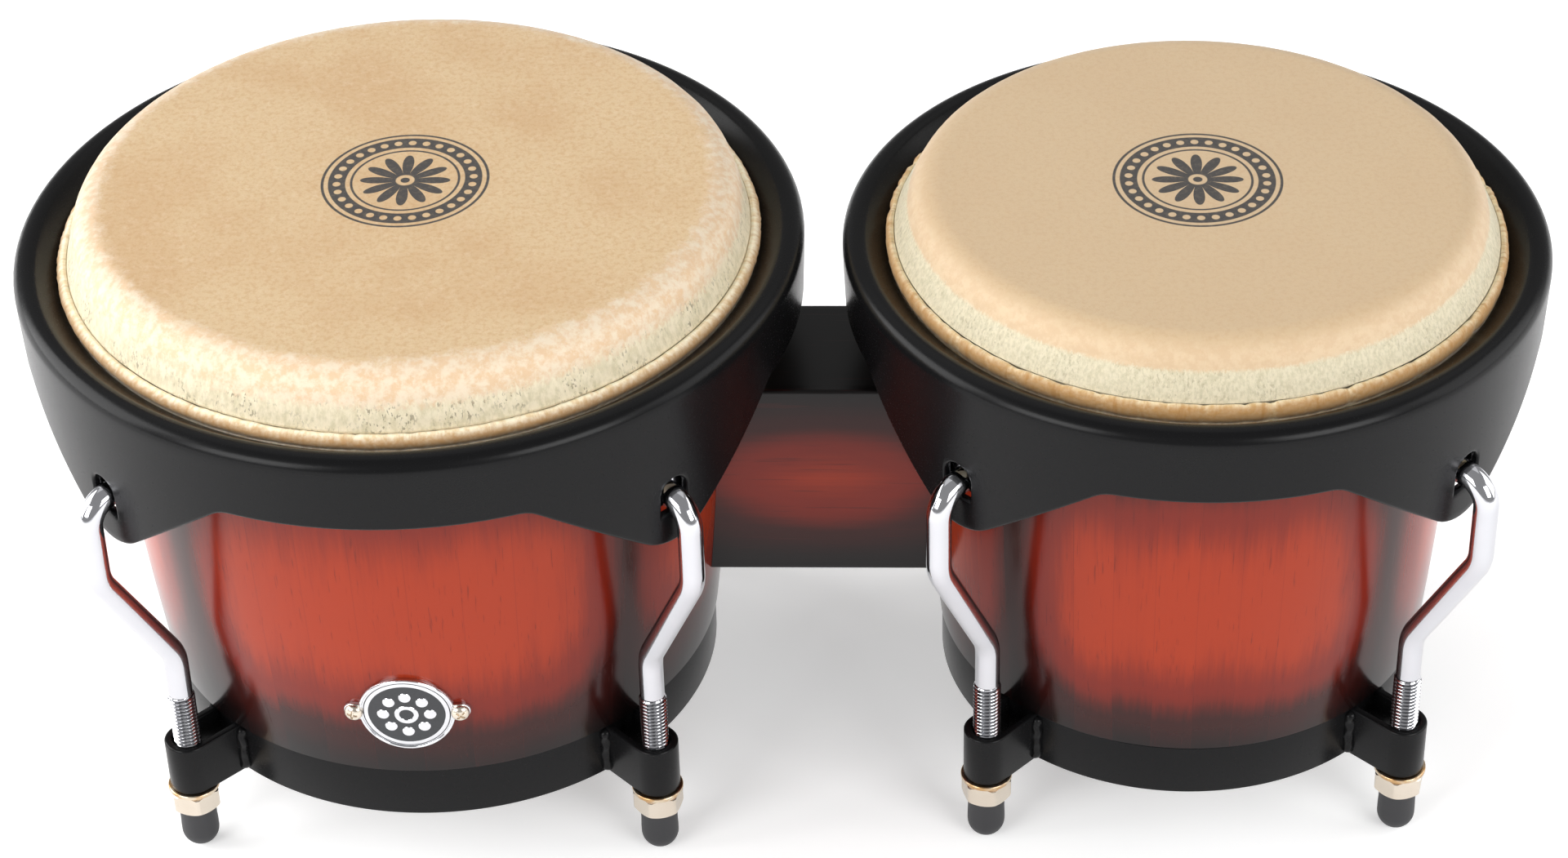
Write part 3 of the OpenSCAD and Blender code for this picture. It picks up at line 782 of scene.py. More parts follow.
def weld_bead(drum, side, number):
    """A lumpy bead down the corner between a bracket's arm and the band."""
    rows = []
    for z in np.linspace(WELD_END, BAND_H - WELD_END, 34):
        end = min(z - WELD_END, BAND_H - WELD_END - z)
        row = []
        for a in around(WELD_SIDES):
            c, s = math.cos(a), math.sin(a)
            lump = noise.noise(Vector((c * 0.9 + 7 * number, s * 0.9 + 3 * side, z * 0.42)))
            r = (WELD_R + WELD_LUMP * lump) * min(1.0, 0.25 + math.sqrt(end / 2.2))
            row.append((drum.band_r + WELD_OFF + r * c, side * (EYE_R + STRAP_T + WELD_OFF) + r * s, z))
        rows.append(row)
    return np.array(rows)


# --- Skin heads ---
HEAD_SEGMENTS = 480
HOOP_CLEAR_R = 3.0
SLIT_START = math.radians(115)
SLIT_END = math.radians(465)
FLAP_OVER_LIP = 1.1
FLAP_LIP_GAP = 0.2
FLAP_TIP = (0.25, -0.05)
WRINKLE = {"large": (0.30, 0.22), "small": (0.24, 0.8)}
WRINKLE_FROM_Z = 140.0
BLEND_TOP = 8.0
BLEND_FOOT = 0.3


def softened(points, rounds=3):
    """An open line with its corners cut back until it is smooth; the ends stay put."""
    points = np.asarray(points, float)
    for _ in range(rounds):
        near = points[:-1] * 0.75 + points[1:] * 0.25
        far = points[:-1] * 0.25 + points[1:] * 0.75
        inner = np.stack([near, far], 1).reshape(-1, 2)
        points = np.concatenate([points[:1], inner, points[-1:]])
    return points


def flap_line(drum):
    """Outside of the tucked skin, from its end at the crease round the hoop to the collar's inside."""
    h, c = drum.hoop_r, (drum.crease_r, drum.crease_z)
    over, beside = drum.lip_r + FLAP_OVER_LIP, drum.lip_r - FLAP_LIP_GAP
    inside = (c[0] - SKIN_T * math.cos(drum.lean), c[1] - SKIN_T * math.sin(drum.lean))
    return softened([
        (c[0] + FLAP_TIP[0], c[1] + FLAP_TIP[1]), (c[0] + 1.4, c[1] + 0.3), (over, c[1] - 1.1),
        (over, TUCK_Z + 3.4), (beside, TUCK_Z + 1.7), (beside, TUCK_Z - 0.4),
        (h + 3.4, TUCK_Z - 2.8), (h + 1.4, TUCK_Z - TUCK_R), (h - 1.4, TUCK_Z - TUCK_R),
        (h - 3.4, TUCK_Z - 2.7), (h - TUCK_R, TUCK_Z - 0.2), (h - 3.6, TUCK_Z + 2.0), inside,
    ])


def build_head(drum):
    top, centre = drum.head_z, (drum.flat_r, drum.shoulder_z)
    flat = [(r, top) for r in np.linspace(0.0, drum.flat_r, 44)[:-1]]
    shoulder = arc(centre, SHOULDER_R, TAU / 4, drum.lean, 16)
    collar = np.linspace(shoulder[-1], (drum.crease_r, drum.crease_z), 18)[1:]
    slit = arc((drum.hoop_r, TUCK_Z), HOOP_CLEAR_R, SLIT_START, SLIT_END, 48)
    flap = flap_line(drum)
    under = arc(centre, SHOULDER_R - SKIN_T, drum.lean, TAU / 4, 12)
    back = np.linspace(flap[-1], under[0], 10)[1:-1]
    below = [(r, top - SKIN_T) for r in np.linspace(drum.flat_r, 0.0, 12)[1:]]
    profile = np.concatenate([flat, shoulder, collar, slit, flap, back, under, below])
    points = revolve(profile, HEAD_SEGMENTS)
    flap_start = len(flat) + len(shoulder) + len(collar) + len(slit)
    rays = [(math.cos(a), math.sin(a)) for a in around(HEAD_SEGMENTS)]
    # the tucked skin is wrinkled where it shows
    fine, bead = WRINKLE[drum.name]
    for row in range(flap_start, flap_start + len(flap)):
        r, z = profile[row]
        shown = max(0.0, min(1.0, (z - WRINKLE_FROM_Z) / 2.5)) if r > drum.hoop_r else 0.0
        if shown == 0.0:
            continue
        out = profile[row] - (drum.hoop_r, TUCK_Z)
        out /= np.linalg.norm(out)
        for j, (c, s) in enumerate(rays):
            ray = (c * drum.hoop_r, s * drum.hoop_r)
            small = noise.noise(Vector((ray[0] * 0.9, ray[1] * 0.9, r * 0.35 + z * 0.2)))
            large = noise.noise(Vector((ray[0] * 0.3, ray[1] * 0.3, r * 0.12)))
            shift = shown * (fine * small + bead * min(0.0, large) * 1.6)
            points[row, j] += shift * np.array([out[0] * c, out[0] * s, out[1]])
    # the shoulder and collar are pulled a little unevenly over the shell
    for row in range(len(flat), flap_start - len(slit)):
        r, z = profile[row]
        fade = min(1.0, (row - len(flat)) / 12)
        for j, (c, s) in enumerate(rays):
            ripple = noise.noise(Vector((c * 9, s * 9, z * 0.08))) * 0.14
            ripple += noise.noise(Vector((c * 55, s * 55, z * 0.3))) * 0.06
            points[row, j] += fade * ripple * np.array([c, s, 0])
    head = turned_piece(f"{drum.name}_rawhide_head", drum.frame_points(points), False, 60.0)
    head.data.materials.append(HIDE[drum.name])
    upper = drum.frame_points([(0, 0, drum.crease_z + BLEND_TOP)])[0]
    lower = drum.frame_points([(0, 0, drum.crease_z + BLEND_FOOT)])[0]
    tuple(upper)
    tuple(lower)
    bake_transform(head)
    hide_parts(f"{drum.name}_skin_head")


# --- Rims ---
SKIRT_SPLIT = 0.57
SKIRT_LOW_ROWS = 10
SKIRT_HIGH_ROWS = 8
PATCH_HALF = 8.0
PATCH_COLS = 8
PATCH_RINGS = 4
FLANK_REACH = 47.0
RIM_EDGE = 0.9


def ear_low(y):
    """Height of the skirt's lower edge at a distance across from a lug."""
    y = abs(y)
    round_z = EAR_BOTTOM_Z + EAR_ROUND_R
    tangent = (EAR_ROUND_R * math.sin(EAR_FLANK), -EAR_ROUND_R * math.cos(EAR_FLANK))
    corner = tangent[0] + (SKIRT_EDGE_Z - round_z - tangent[1]) / math.tan(EAR_FLANK)
    fillet_x = corner + EAR_FILLET_R * math.tan(EAR_FLANK / 2)
    fillet_start = fillet_x - EAR_FILLET_R * math.sin(EAR_FLANK)
    if y <= tangent[0]:
        return round_z - math.sqrt(EAR_ROUND_R ** 2 - y * y)
    if y <= fillet_start:
        return round_z + tangent[1] + (y - tangent[0]) * math.tan(EAR_FLANK)
    if y <= fillet_x:
        return SKIRT_EDGE_Z - EAR_FILLET_R + math.sqrt(EAR_FILLET_R ** 2 - (fillet_x - y) ** 2)
    return SKIRT_EDGE_Z


def slot_loop():
    """The hook's opening, starting at its lower left corner and going round to the right."""
    half = SLOT_W / 2
    arch_z = SLOT_TOP_Z - half
    straight = arch_z - SLOT_BOTTOM_Z
    side = straight + half * TAU / 8

    def up(distance):
        if distance <= straight:
            return (half, SLOT_BOTTOM_Z + distance)
        a = (distance - straight) / half
        return (half * math.cos(a), arch_z + half * math.sin(a))

    bottom = [(x, SLOT_BOTTOM_Z) for x in np.linspace(-half, half, PATCH_COLS + 1)]
    right = [up(d) for d in np.linspace(0, side, SKIRT_LOW_ROWS + 1)][1:]
    over = np.linspace(TAU / 8, TAU * 3 / 8, PATCH_COLS + 1)[1:]
    top = [(half * math.cos(a), arch_z + half * math.sin(a)) for a in over]
    left = [(-x, z) for x, z in right[::-1]][1:] + [(-half, SLOT_BOTTOM_Z)]
    return np.array((bottom + right + top + left)[:-1])


def build_rim(drum):
    r_plan = drum.skirt_r(EAR_BOTTOM_Z) - RIM_T / 2
    patch_angle = math.asin(PATCH_HALF / r_plan)
    reach_angle = math.asin(FLANK_REACH / r_plan)
    offsets = list(np.linspace(-patch_angle, patch_angle, PATCH_COLS + 1))
    flank = list(np.linspace(patch_angle, reach_angle, 27))[1:]
    offsets = [-a for a in flank[::-1]] + offsets + flank
    gap = TAU / 4 - 2 * reach_angle
    fill = [reach_angle + gap * k / 12 for k in range(1, 12)]
    columns, near = [], []
    for angle, _ in drum.lugs:
        columns += [angle + a for a in offsets] + [angle + a for a in fill]
        near += offsets + [reach_angle] * len(fill)
    fractions = [SKIRT_SPLIT * k / SKIRT_LOW_ROWS for k in range(SKIRT_LOW_ROWS + 1)]
    rest = 1 - SKIRT_SPLIT
    fractions += [SKIRT_SPLIT + rest * k / SKIRT_HIGH_ROWS for k in range(1, SKIRT_HIGH_ROWS + 1)]
    # angle and height of every point on the skirt, then the bend and the lip above it
    lows = np.array([ear_low(r_plan * math.sin(a)) for a in near])
    skirt_z = np.array([lows + (ROLL_Z - lows) * f for f in fractions])
    skirt_r = drum.skirt_r(skirt_z) - RIM_T / 2
    bend = (drum.rim_r - RIM_ROLL_R, ROLL_Z + BEND_RISE)
    over = arc(bend, RIM_ROLL_R - RIM_T / 2, 0, TAU / 4 + LIP_SLOPE, 22)
    lip_r = drum.lip_r + RIM_T / 2 * math.sin(LIP_SLOPE)
    lip_z = over[-1][1] - (over[-1][0] - lip_r) * math.tan(LIP_SLOPE)
    over = np.concatenate([over, np.linspace(over[-1], (lip_r, lip_z), 9)[1:]])
    radii = np.concatenate([skirt_r, np.repeat(over[:, :1], len(columns), 1)])
    heights = np.concatenate([skirt_z, np.repeat(over[:, 1:], len(columns), 1)])
    rows, cols = radii.shape
    angles = np.array(columns)
    points = np.stack([radii * np.cos(angles), radii * np.sin(angles), heights], -1)
    part = Mesh()
    part.verts = [tuple(v) for v in drum.frame_points(points).reshape(-1, 3)]
    per_lug = len(offsets) + len(fill)
    first = len(flank)
    patch = {lug * per_lug + first + j for lug in range(len(drum.lugs)) for j in range(PATCH_COLS)}
    for i in range(rows - 1):
        for j in range(cols):
            if i < SKIRT_LOW_ROWS and j in patch:
                continue
            m = (j + 1) % cols
            part.faces.append((i * cols + j, i * cols + m, (i + 1) * cols + m, (i + 1) * cols + j))
    hole = slot_loop()
    for lug, (angle, _) in enumerate(drum.lugs):
        c0 = lug * per_lug + first
        loop = [c0 + j for j in range(PATCH_COLS + 1)]
        loop += [i * cols + c0 + PATCH_COLS for i in range(1, SKIRT_LOW_ROWS + 1)]
        loop += [SKIRT_LOW_ROWS * cols + c0 + j for j in range(PATCH_COLS - 1, -1, -1)]
        loop += [i * cols + c0 for i in range(SKIRT_LOW_ROWS - 1, 0, -1)]
        outer = np.array([(angles[k % cols], heights[k // cols, k % cols]) for k in loop])
        hole_r = drum.skirt_r(hole[:, 1]) - RIM_T / 2
        inner = np.stack([angle + np.arcsin(hole[:, 0] / hole_r), hole[:, 1]], -1)
        previous = loop
        for ring in range(1, PATCH_RINGS + 1):
            t = ring / PATCH_RINGS
            mid = outer * (1 - t) + inner * t
            r = drum.skirt_r(mid[:, 1]) - RIM_T / 2
            ring_points = np.stack([r * np.cos(mid[:, 0]), r * np.sin(mid[:, 0]), mid[:, 1]], -1)
            base = len(part.verts)
            part.verts += [tuple(v) for v in drum.frame_points(ring_points)]
            current = [base + k for k in range(len(loop))]
            for k in range(len(loop)):
                m = (k + 1) % len(loop)
                part.faces.append((previous[k], previous[m], current[m], current[k]))
            previous = current
    part.slots = [0] * len(part.faces)
    rim = part.object(f"{drum.name}_rolled_rim")
    solid = rim.modifiers.new("sheet", "SOLIDIFY")
    solid.thickness = RIM_T * MM
    solid.offset = 0.0
    solid.use_even_offset = True
    edge = rim.modifiers.new("edge", "BEVEL")
    edge.width = RIM_EDGE * MM
    edge.segments = 3
    edge.limit_method = "ANGLE"
    edge.angle_limit = math.radians(50)
    bpy.context.view_layer.update()
    applied(rim)
    smooth(rim, 60.0)
    place(rim, f"{drum.name}_rim", "black_steel", POWDER)


# --- Tuning rods ---
ROD_SIDES = 28
THREAD_DEPTH = 0.66
GROOVE_DEPTH = 0.42
THREAD_STEPS = 8
TEE_W = 15.0
TEE_H = 7.6
TEE_T = 4.4
TEE_GAP = 0.6
TEE_ROUND_R = 2.6
THREAD_CREST = (1.25, 0.12)
THREAD_LEAD = 1.2
THREAD_START = 1.0
THREAD_START_CUT = 0.5


def rod_path(drum, lug_r):
    """Centre line of a rod in the upright plane through its lug, from its foot to its tee."""
    high = lug_r + ROD_STEP
    half = ROD_STEP / 2 / math.tan(ROD_SLOPE)
    tangent = SLOPE_BEND_R * math.tan(ROD_SLOPE / 2)
    low_z, high_z = SLOPE_MID_Z - half, SLOPE_MID_Z + half
    foot = [(lug_r, z) for z in np.arange(ROD_END_Z, THREAD_TOP_Z, THREAD_PITCH / THREAD_STEPS)]
    plain = [(lug_r, z) for z in np.linspace(THREAD_TOP_Z, low_z - tangent, 10)]
    bend = arc((lug_r + SLOPE_BEND_R, low_z - tangent), SLOPE_BEND_R, TAU / 2, TAU / 2 - ROD_SLOPE, 10)
    rise = arc((high - SLOPE_BEND_R, high_z + tangent), SLOPE_BEND_R, -ROD_SLOPE, 0, 10)
    slope = np.linspace(bend[-1], rise[0], 8)[1:-1]
    climb = np.linspace(rise[-1], (high, HOOK_Z - HOOK_BEND_R), 8)[1:-1]
    hook = arc((high - HOOK_BEND_R, HOOK_Z - HOOK_BEND_R), HOOK_BEND_R, 0, TAU / 4, 20)
    end_r = drum.skirt_r(HOOK_Z) - RIM_T - TEE_GAP - TEE_T / 2
    level = np.linspace(hook[-1], (end_r, HOOK_Z), 5)[1:]
    return np.concatenate([foot, plain, bend, slope, rise, climb, hook, level]), len(foot)


def build_rod(drum, number, angle, lug_r):
    path, threaded = rod_path(drum, lug_r)
    ways = np.gradient(path, axis=0)
    ways /= np.linalg.norm(ways, axis=1)[:, None]
    rows = []
    depths = []
    for k, ((x, z), (wx, wz)) in enumerate(zip(path, ways)):
        row = []
        depths.append([])
        for j in range(ROD_SIDES):
            a = j * TAU / ROD_SIDES
            if k < threaded:
                run = min(z - ROD_END_Z, THREAD_TOP_Z - z)
                crest = abs(2 * ((z / THREAD_PITCH - a / TAU) % 1.0) - 1)
                depth = THREAD_DEPTH * min(1.0, max(0.0, crest * THREAD_CREST[0] - THREAD_CREST[1]))
                depths[k].append(depth)
                lead = max(0.0, 1 - run / THREAD_LEAD)
                r = THREAD_R - depth - lead * (THREAD_R - depth - ROD_R + 0.1)
                if z - ROD_END_Z < THREAD_START:
                    r -= THREAD_START_CUT * (THREAD_START - (z - ROD_END_Z))
            else:
                r = ROD_R
            across, side = r * math.cos(a), r * math.sin(a)
            row.append((x + across * wz, side, z - across * wx))
        rows.append(row)
    part = Mesh()
    part.tube(drum.frame_points(turned(rows, angle)))
    # painted shade: the thread's grooves take a darker grey
    for k in range(threaded - 1):
        for j in range(ROD_SIDES):
            if (depths[k][j] + depths[k + 1][j]) / 2 > GROOVE_DEPTH:
                part.slots[k * ROD_SIDES + j] = 1
    # the beaten tee behind the rim
    tee_x = path[-1][0]
    outline = rounded_box(-TEE_W / 2, TEE_W / 2, -TEE_H / 2, TEE_H / 2, TEE_ROUND_R, 6)
    tee = []
    for depth, shrink in ((-0.5, 0.9), (-0.5, 0.97), (-0.35, 1.0), (0.35, 1.0), (0.5, 0.97), (0.5, 0.9)):
        tee.append([(tee_x + depth * TEE_T, y * shrink, HOOK_Z + z * shrink) for y, z in outline])
    part.tube(drum.frame_points(turned(tee, angle)))
    rod = part.object(f"{drum.name}_chrome_rod_{number}", sharp=50.0)
    place(rod, f"{drum.name}_tuning_rod_{number}", "rod_chrome", CHROME, GROOVE_SHADE)


# --- Washers, nuts and rubber caps ---
WASHER_T = 1.4
WASHER_R = 7.4
WASHER_EDGE_R = 0.35
NUT_GAP = 0.1
NUT_H = 6.6
NUT_FLATS = 13.0
NUT_BORE_R = 4.0
NUT_BORE_EDGE = 0.5
NUT_SEGMENTS = 96
NUT_CORNER_CUT = 0.25
NUT_CHAMFER_FROM = 0.97
NUT_CHAMFER = math.radians(30)
CAP_R = 5.4
CAP_BOTTOM = 23.0
CAP_WALL = 1.4
CAP_LIP_R = 0.6
CAP_GAP = 0.3


def lug_place(drum, points, angle, lug_r):
    return drum.frame_points(turned(points, 0.0, lug_r * math.cos(angle), lug_r * math.sin(angle)))


def build_washer(drum, number, angle, lug_r):
    section = rounded_box(EYE_R, WASHER_R, -WASHER_T, 0, WASHER_EDGE_R, 3)
    points = lug_place(drum, revolve(section, 72), angle, lug_r)
    washer = turned_piece(f"{drum.name}_plated_washer_{number}", points)
    place(washer, f"{drum.name}_lug_washer_{number}", "washer_zinc", ZINC)


def build_nut(drum, number, angle, lug_r):
    top = -WASHER_T - NUT_GAP
    bottom = top - NUT_H
    corner_r = NUT_FLATS / 2 / math.cos(TAU / 12)
    face_r = NUT_FLATS / 2 * NUT_CHAMFER_FROM
    slope = math.tan(NUT_CHAMFER)
    bore, edge = NUT_BORE_R, NUT_BORE_EDGE
    rows = [[] for _ in range(8)]
    for a in around(NUT_SEGMENTS):
        flat = (a % (TAU / 6)) - TAU / 12
        hex_r = NUT_FLATS / 2 / math.cos(flat)
        r = min(hex_r, corner_r - NUT_CORNER_CUT)
        drop = max(0.05, (r - face_r) * slope * 1.25)
        for row, (radius, z) in enumerate((
            (bore, bottom + edge), (bore + edge, bottom), (face_r, bottom), (r, bottom + drop),
            (r, top - drop), (face_r, top), (bore + edge, top), (bore, top - edge),
        )):
            rows[row].append((radius * math.cos(a), radius * math.sin(a), z))
    points = lug_place(drum, turned(rows, angle), angle, lug_r)
    nut = turned_piece(f"{drum.name}_hex_nut_{number}", points, sharp=24.0)
    place(nut, f"{drum.name}_tuning_nut_{number}", "nut_nickel", NICKEL)


def build_cap(drum, number, angle, lug_r):
    top = -WASHER_T - NUT_GAP - NUT_H - CAP_GAP
    outer, inner = CAP_R - BOX_MARGIN, CAP_R - CAP_WALL
    round_z = CAP_R - CAP_BOTTOM
    dome = [tuple(p) for p in arc((0, round_z), outer, -TAU / 4, 0, 18)]
    side = [(outer, round_z + 2), (CAP_R - 0.12, round_z + 5), (outer, top - 0.9)]
    lip = [tuple(p) for p in arc((CAP_R - 0.62, top - CAP_LIP_R), CAP_LIP_R, 0, TAU / 4, 4)]
    bore = [(inner + 0.3, top), (inner, top - 0.4), (inner, ROD_END_Z), (0.0, ROD_END_Z)]
    points = lug_place(drum, revolve(dome + side + lip + bore, 64), angle, lug_r)
    cap = turned_piece(f"{drum.name}_rubber_foot_{number}", points, False)
    place(cap, f"{drum.name}_rubber_cap_{number}", "cap_rubber", RUBBER)


# --- Centre block ---
BLOCK_EDGE = 1.3
BLOCK_FIT = 0.05


def build_block():
    low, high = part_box("centre_block")
    large, small = DRUMS["large"], DRUMS["small"]
    half_y = (high.y - low.y) / 2 / MM
    z_low, z_high = low.z / MM - large.lift, high.z / MM - large.lift
    ys = np.linspace(-half_y, half_y, 15)
    zs = np.linspace(z_low, z_high, 21)
    sections = 24

    def face(drum, side, y, z):
        r = drum.shell_r(z) + BLOCK_FIT
        return drum.x + side * math.sqrt(r * r - y * y)

    def point(t, y, z):
        return (face(large, 1, y, z) * (1 - t) + face(small, -1, y, z) * t, y, z + large.lift)

    border = [(y, z_low) for y in ys] + [(half_y, z) for z in zs[1:]]
    border += [(y, z_high) for y in ys[::-1][1:]] + [(-half_y, z) for z in zs[::-1][1:-1]]
    part = Mesh()
    sides = np.array([[point(k / sections, y, z) for y, z in border] for k in range(sections + 1)])
    part.grid(sides * MM, wrap_cols=True)
    for t in (0.0, 1.0):
        part.grid(np.array([[point(t, y, z) for y in ys] for z in zs]) * MM)
    block = part.object("lacquered_centre_block")
    weights = block.data.attributes.new("bevel_weight_edge", "FLOAT", "EDGE")
    for edge in block.data.edges:
        a, b = (block.data.vertices[i].co / MM for i in edge.vertices)
        on_side = all(abs(abs(p.y) - half_y) < 0.01 for p in (a, b))
        on_face = any(all(abs(p.z - large.lift - z) < 0.01 for p in (a, b)) for z in (z_low, z_high))
        weights.data[edge.index].value = 1.0 if on_side and on_face else 0.0
    bevel = block.modifiers.new("edge", "BEVEL")
    bevel.limit_method = "WEIGHT"
    bevel.width = BLOCK_EDGE * MM
    bevel.segments = 4
    bpy.context.view_layer.update()
    applied(block)
    smooth(block, 40.0)
    place(block, "centre_block", "block_wood", BLOCK_WOOD)


# --- Badge ---
BADGE_COLS = 480
BADGE_FIELD_R = 10.9
BADGE_LINE = (11.9, 12.35)
MOTIF_DOTS = 8
MOTIF_DOT_R = 1.75
MOTIF_RISE = 0.22
MOTIF_REACH = 6.6
MOTIF_CENTRE = (2.0, 3.4)
SCREW_SEGMENTS = 128
SCREW_R = 1.3
SCREW_HEAD_R = 2.6
SCREW_HEAD_H = 2.0
SCREW_EDGE = 0.35
SCREW_LEN = 7.0
CROSS_HALF_W = 0.34
CROSS_REACH = 1.5
CROSS_DEPTH = 0.8


def badge_point(x, z, height):
    """A point over the large shell's front at x and z from the badge's middle."""
    drum = DRUMS["large"]
    r = drum.shell_r(BADGE_Z + z) + height
    return (x, -math.sqrt(r * r - x * x), BADGE_Z + z)


def badge_edge(a):
    """Distance from the badge's middle to its outline: a disc with an ear on each side."""
    c, s = abs(math.cos(a)), abs(math.sin(a))
    limit = BADGE_EAR_R / BADGE_EAR_X
    if s < limit:
        return BADGE_EAR_X * c + math.sqrt(BADGE_EAR_R ** 2 - (BADGE_EAR_X * s) ** 2)
    return max(BADGE_R, min(BADGE_EAR_R / s, math.hypot(BADGE_EAR_X, BADGE_EAR_R)))


def badge_ring(part, cx, cz, inner, outer, base, height, slot, cols=160):
    """A raised flat ring, or a disc where inner is 0, that follows the badge's curve."""
    soft = 0.12
    rows = []
    profile = [(outer, base), (outer, height - soft), (outer - soft, height)]
    profile += [(outer - (outer - inner) * k / 4, height) for k in (1, 2, 3)]
    profile += [(inner + soft, height), (inner, height - soft), (inner, base)] if inner else [(0.0, height)]
    for r, h in profile:
        rows.append([badge_point(cx + r * math.cos(a), cz + r * math.sin(a), h) for a in around(cols)])
    if not inner:
        rows.append([badge_point(cx, cz, base)] * cols)
    part.grid(DRUMS["large"].frame_points(rows), wrap_rows=True, wrap_cols=True, slot=slot)


def build_badge():
    part = Mesh()
    plate = []
    top = BADGE_T
    edge = [(badge_edge(a), math.cos(a), math.sin(a)) for a in around(BADGE_COLS)]
    for share, inset, height in (
        (1, 0.0, 0.05), (1, 0.0, top - 0.25), (1, 0.08, top - 0.08), (1, 0.25, top),
        (0.8, 0.25, top), (0.5, 0.25, top), (0.25, 0.25, top), (0.0, 0.0, top), (0.0, 0.0, 0.05),
    ):
        reach = [(e * share - inset, c, s) for e, c, s in edge]
        plate.append([badge_point(r * c, r * s, height) for r, c, s in reach])
    part.grid(DRUMS["large"].frame_points(plate), wrap_rows=True, wrap_cols=True, slot=0)
    base = top - 0.3
    badge_ring(part, 0, 0, *BADGE_LINE, base, top + 0.03, 1)
    badge_ring(part, 0, 0, 0.0, BADGE_FIELD_R, base, top + 0.04, 1)
    badge_ring(part, 0, 0, BADGE_R - 0.75, BADGE_R - 0.1, base, top + 0.28, 0)
    badge_ring(part, 0, 0, *MOTIF_CENTRE, base, top + MOTIF_RISE, 0, 96)
    for a in around(MOTIF_DOTS):
        x, z = MOTIF_REACH * math.cos(a), MOTIF_REACH * math.sin(a)
        badge_ring(part, x, z, 0.0, MOTIF_DOT_R, base, top + MOTIF_RISE, 0, 48)
    badge = part.object("round_badge")
    place(badge, "badge_plate", "badge_metal", BADGE_CHROME, ENAMEL)


def build_badge_screws():
    drum = DRUMS["large"]
    face_r = drum.shell_r(BADGE_Z) + BADGE_T
    turn = math.asin(BADGE_EAR_X / face_r)
    angles = around(SCREW_SEGMENTS)
    profile = [(0.4, -SCREW_LEN), (SCREW_R, -SCREW_LEN + 1.0), (SCREW_R, 0.0), (SCREW_HEAD_R, 0.0)]
    profile += [
        (SCREW_HEAD_R * math.cos(a), SCREW_EDGE + (SCREW_HEAD_H - SCREW_EDGE) * math.sin(a))
        for a in np.linspace(0.0, TAU / 4 - 0.03, 22)
    ]
    part = Mesh()
    for side in (-1, 1):
        rows = []
        for r, out in profile:
            x, y = r * np.cos(angles), r * np.sin(angles)
            arm = np.minimum(np.abs(x), np.abs(y))
            sunk = np.clip((CROSS_HALF_W - arm) / 0.1, 0.0, 1.0)
            sunk = sunk * np.clip((CROSS_REACH - r) / 0.15, 0.0, 1.0)
            level = out - sunk * CROSS_DEPTH * (1 - 0.4 * r / CROSS_REACH) * (out > SCREW_EDGE)
            twist = 0.35 + 0.5 * side
            c, s = math.cos(twist), math.sin(twist)
            rows.append(np.stack([x * c - y * s, -level - face_r, x * s + y * c + BADGE_Z], -1))
        part.tube(drum.frame_points(turned(rows, side * turn)))
    screws = part.object("badge_pan_screws", sharp=40.0)
    place(screws, "badge_screws", "badge_metal", NICKEL)


for drum in DRUMS.values():
    build_shell(drum)
    build_band(drum)
    build_head(drum)
    build_rim(drum)
    for lug_number, lug in enumerate(drum.lugs, 1):
        for build in (build_rod, build_washer, build_nut, build_cap):
            build(drum, lug_number, *lug)
build_block()
build_badge()
build_badge_screws()

# --- CAD nodes that keep their own shape ---
KEPT = {"flesh_hoop": HOOP_STEEL, "block_bolt": STEEL, "block_washer": ZINC, "threaded_inserts": BRASS}
for name, obj in frame["nodes"].items():
    for part_name, material in KEPT.items():
        if part_name in name:
            obj.data.materials.clear()
            obj.data.materials.append(material)


# --- Floor, light and camera ---
FLOOR_HALF = 6.0
FLOOR_GLOW = 0.34


def build_floor():
    shader = Shader("floor_paper", Roughness=0.9)
    shader.set("Base Color", (0.93, 0.93, 0.93, 1.0))
    shader.set("Specular IOR Level", 0.1)
    shader.set("Emission Color", (1.0, 1.0, 1.0, 1.0))
    shader.set("Emission Strength", FLOOR_GLOW)
    mesh = bpy.data.meshes.new("floor")
    corners = [(-1, -1), (1, -1), (1, 1), (-1, 1)]
    mesh.from_pydata([(x * FLOOR_HALF, y * FLOOR_HALF, 0.0) for x, y in corners], [], [(0, 1, 2, 3)])
    floor = linked("floor", mesh)
    mesh.materials.append(shader.material)


def softbox(name, place_at, aim, width, height, power, colour=(1.0, 1.0, 1.0)):
    light = bpy.data.lights.new(name, "AREA")
    light.shape = "RECTANGLE"
    light.size = width
    light.size_y = height
    light.energy = power
    light.color = colour
    obj = linked(name, light)
    obj.location = place_at
    obj.rotation_euler = (Vector(aim) - Vector(place_at)).to_track_quat("-Z", "Y").to_euler()


WORLD_LIGHT = 0.35


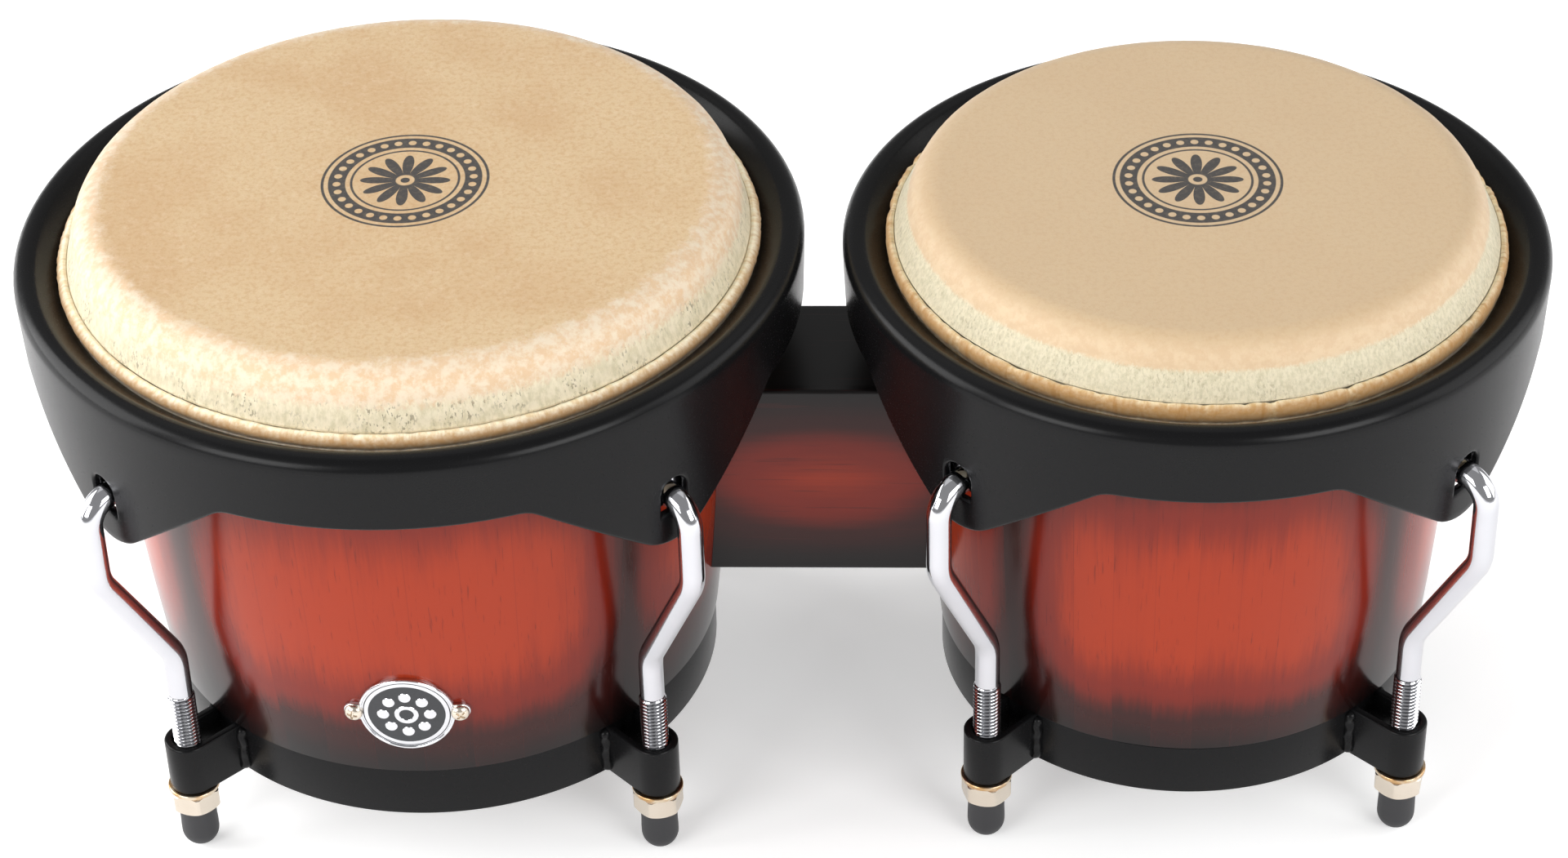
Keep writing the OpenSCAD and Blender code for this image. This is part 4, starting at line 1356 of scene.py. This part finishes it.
def build_light():
    world = bpy.data.worlds.new("studio")
    world.use_nodes = True
    background = world.node_tree.nodes["Background"]
    background.inputs["Color"].default_value = (1.0, 1.0, 1.0, 1.0)
    background.inputs["Strength"].default_value = WORLD_LIGHT
    bpy.context.scene.world = world
    softbox("left_box", (-1.6, 0.15, 0.75), (0, 0, 0.08), 1.5, 1.3, 30)
    softbox("right_box", (1.6, 0.15, 0.75), (0, 0, 0.08), 1.5, 1.3, 12)
    softbox("front_left_box", (-1.1, -1.2, 0.8), (0, 0, 0.08), 0.9, 0.8, 14)
    softbox("front_right_box", (1.1, -1.2, 0.8), (0, 0, 0.08), 0.9, 0.8, 14)
    softbox("top_box", (0.0, 0.75, 1.7), (0, 0, 0.1), 2.4, 1.3, 4)


LENS_MM = 90.39
SENSOR_MM = 36.0
VIEW_DOWN = math.radians(36.84)
VIEW_TURN = math.radians(-2.986)
VIEW_ROLL = math.radians(-1.70)
VIEW_DISTANCE = 1.13886
AIM_OFFSET = Vector((-0.0002, 0.0, 0.00695))


def build_camera():
    low, high = (Vector(corner) for corner in CAD_BOX)
    aim = (low + high) / 2 + AIM_OFFSET
    forward = Vector((
        math.sin(VIEW_TURN) * math.cos(VIEW_DOWN),
        math.cos(VIEW_TURN) * math.cos(VIEW_DOWN),
        -math.sin(VIEW_DOWN),
    ))
    right = Vector((math.cos(VIEW_TURN), -math.sin(VIEW_TURN), 0.0))
    up = right.cross(forward)
    rolled_right = math.cos(VIEW_ROLL) * right + math.sin(VIEW_ROLL) * up
    rolled_up = -math.sin(VIEW_ROLL) * right + math.cos(VIEW_ROLL) * up
    camera_data = bpy.data.cameras.new("camera")
    camera_data.lens = LENS_MM
    camera_data.sensor_width = SENSOR_MM
    camera = linked("camera", camera_data)
    turn = Matrix((rolled_right, rolled_up, -forward)).transposed().to_4x4()
    camera.matrix_world = Matrix.Translation(aim - VIEW_DISTANCE * forward) @ turn
    bpy.context.scene.camera = camera


build_floor()
build_light()
build_camera()
bpy.context.scene.view_settings.view_transform = "Standard"

bpy.context.view_layer.update()
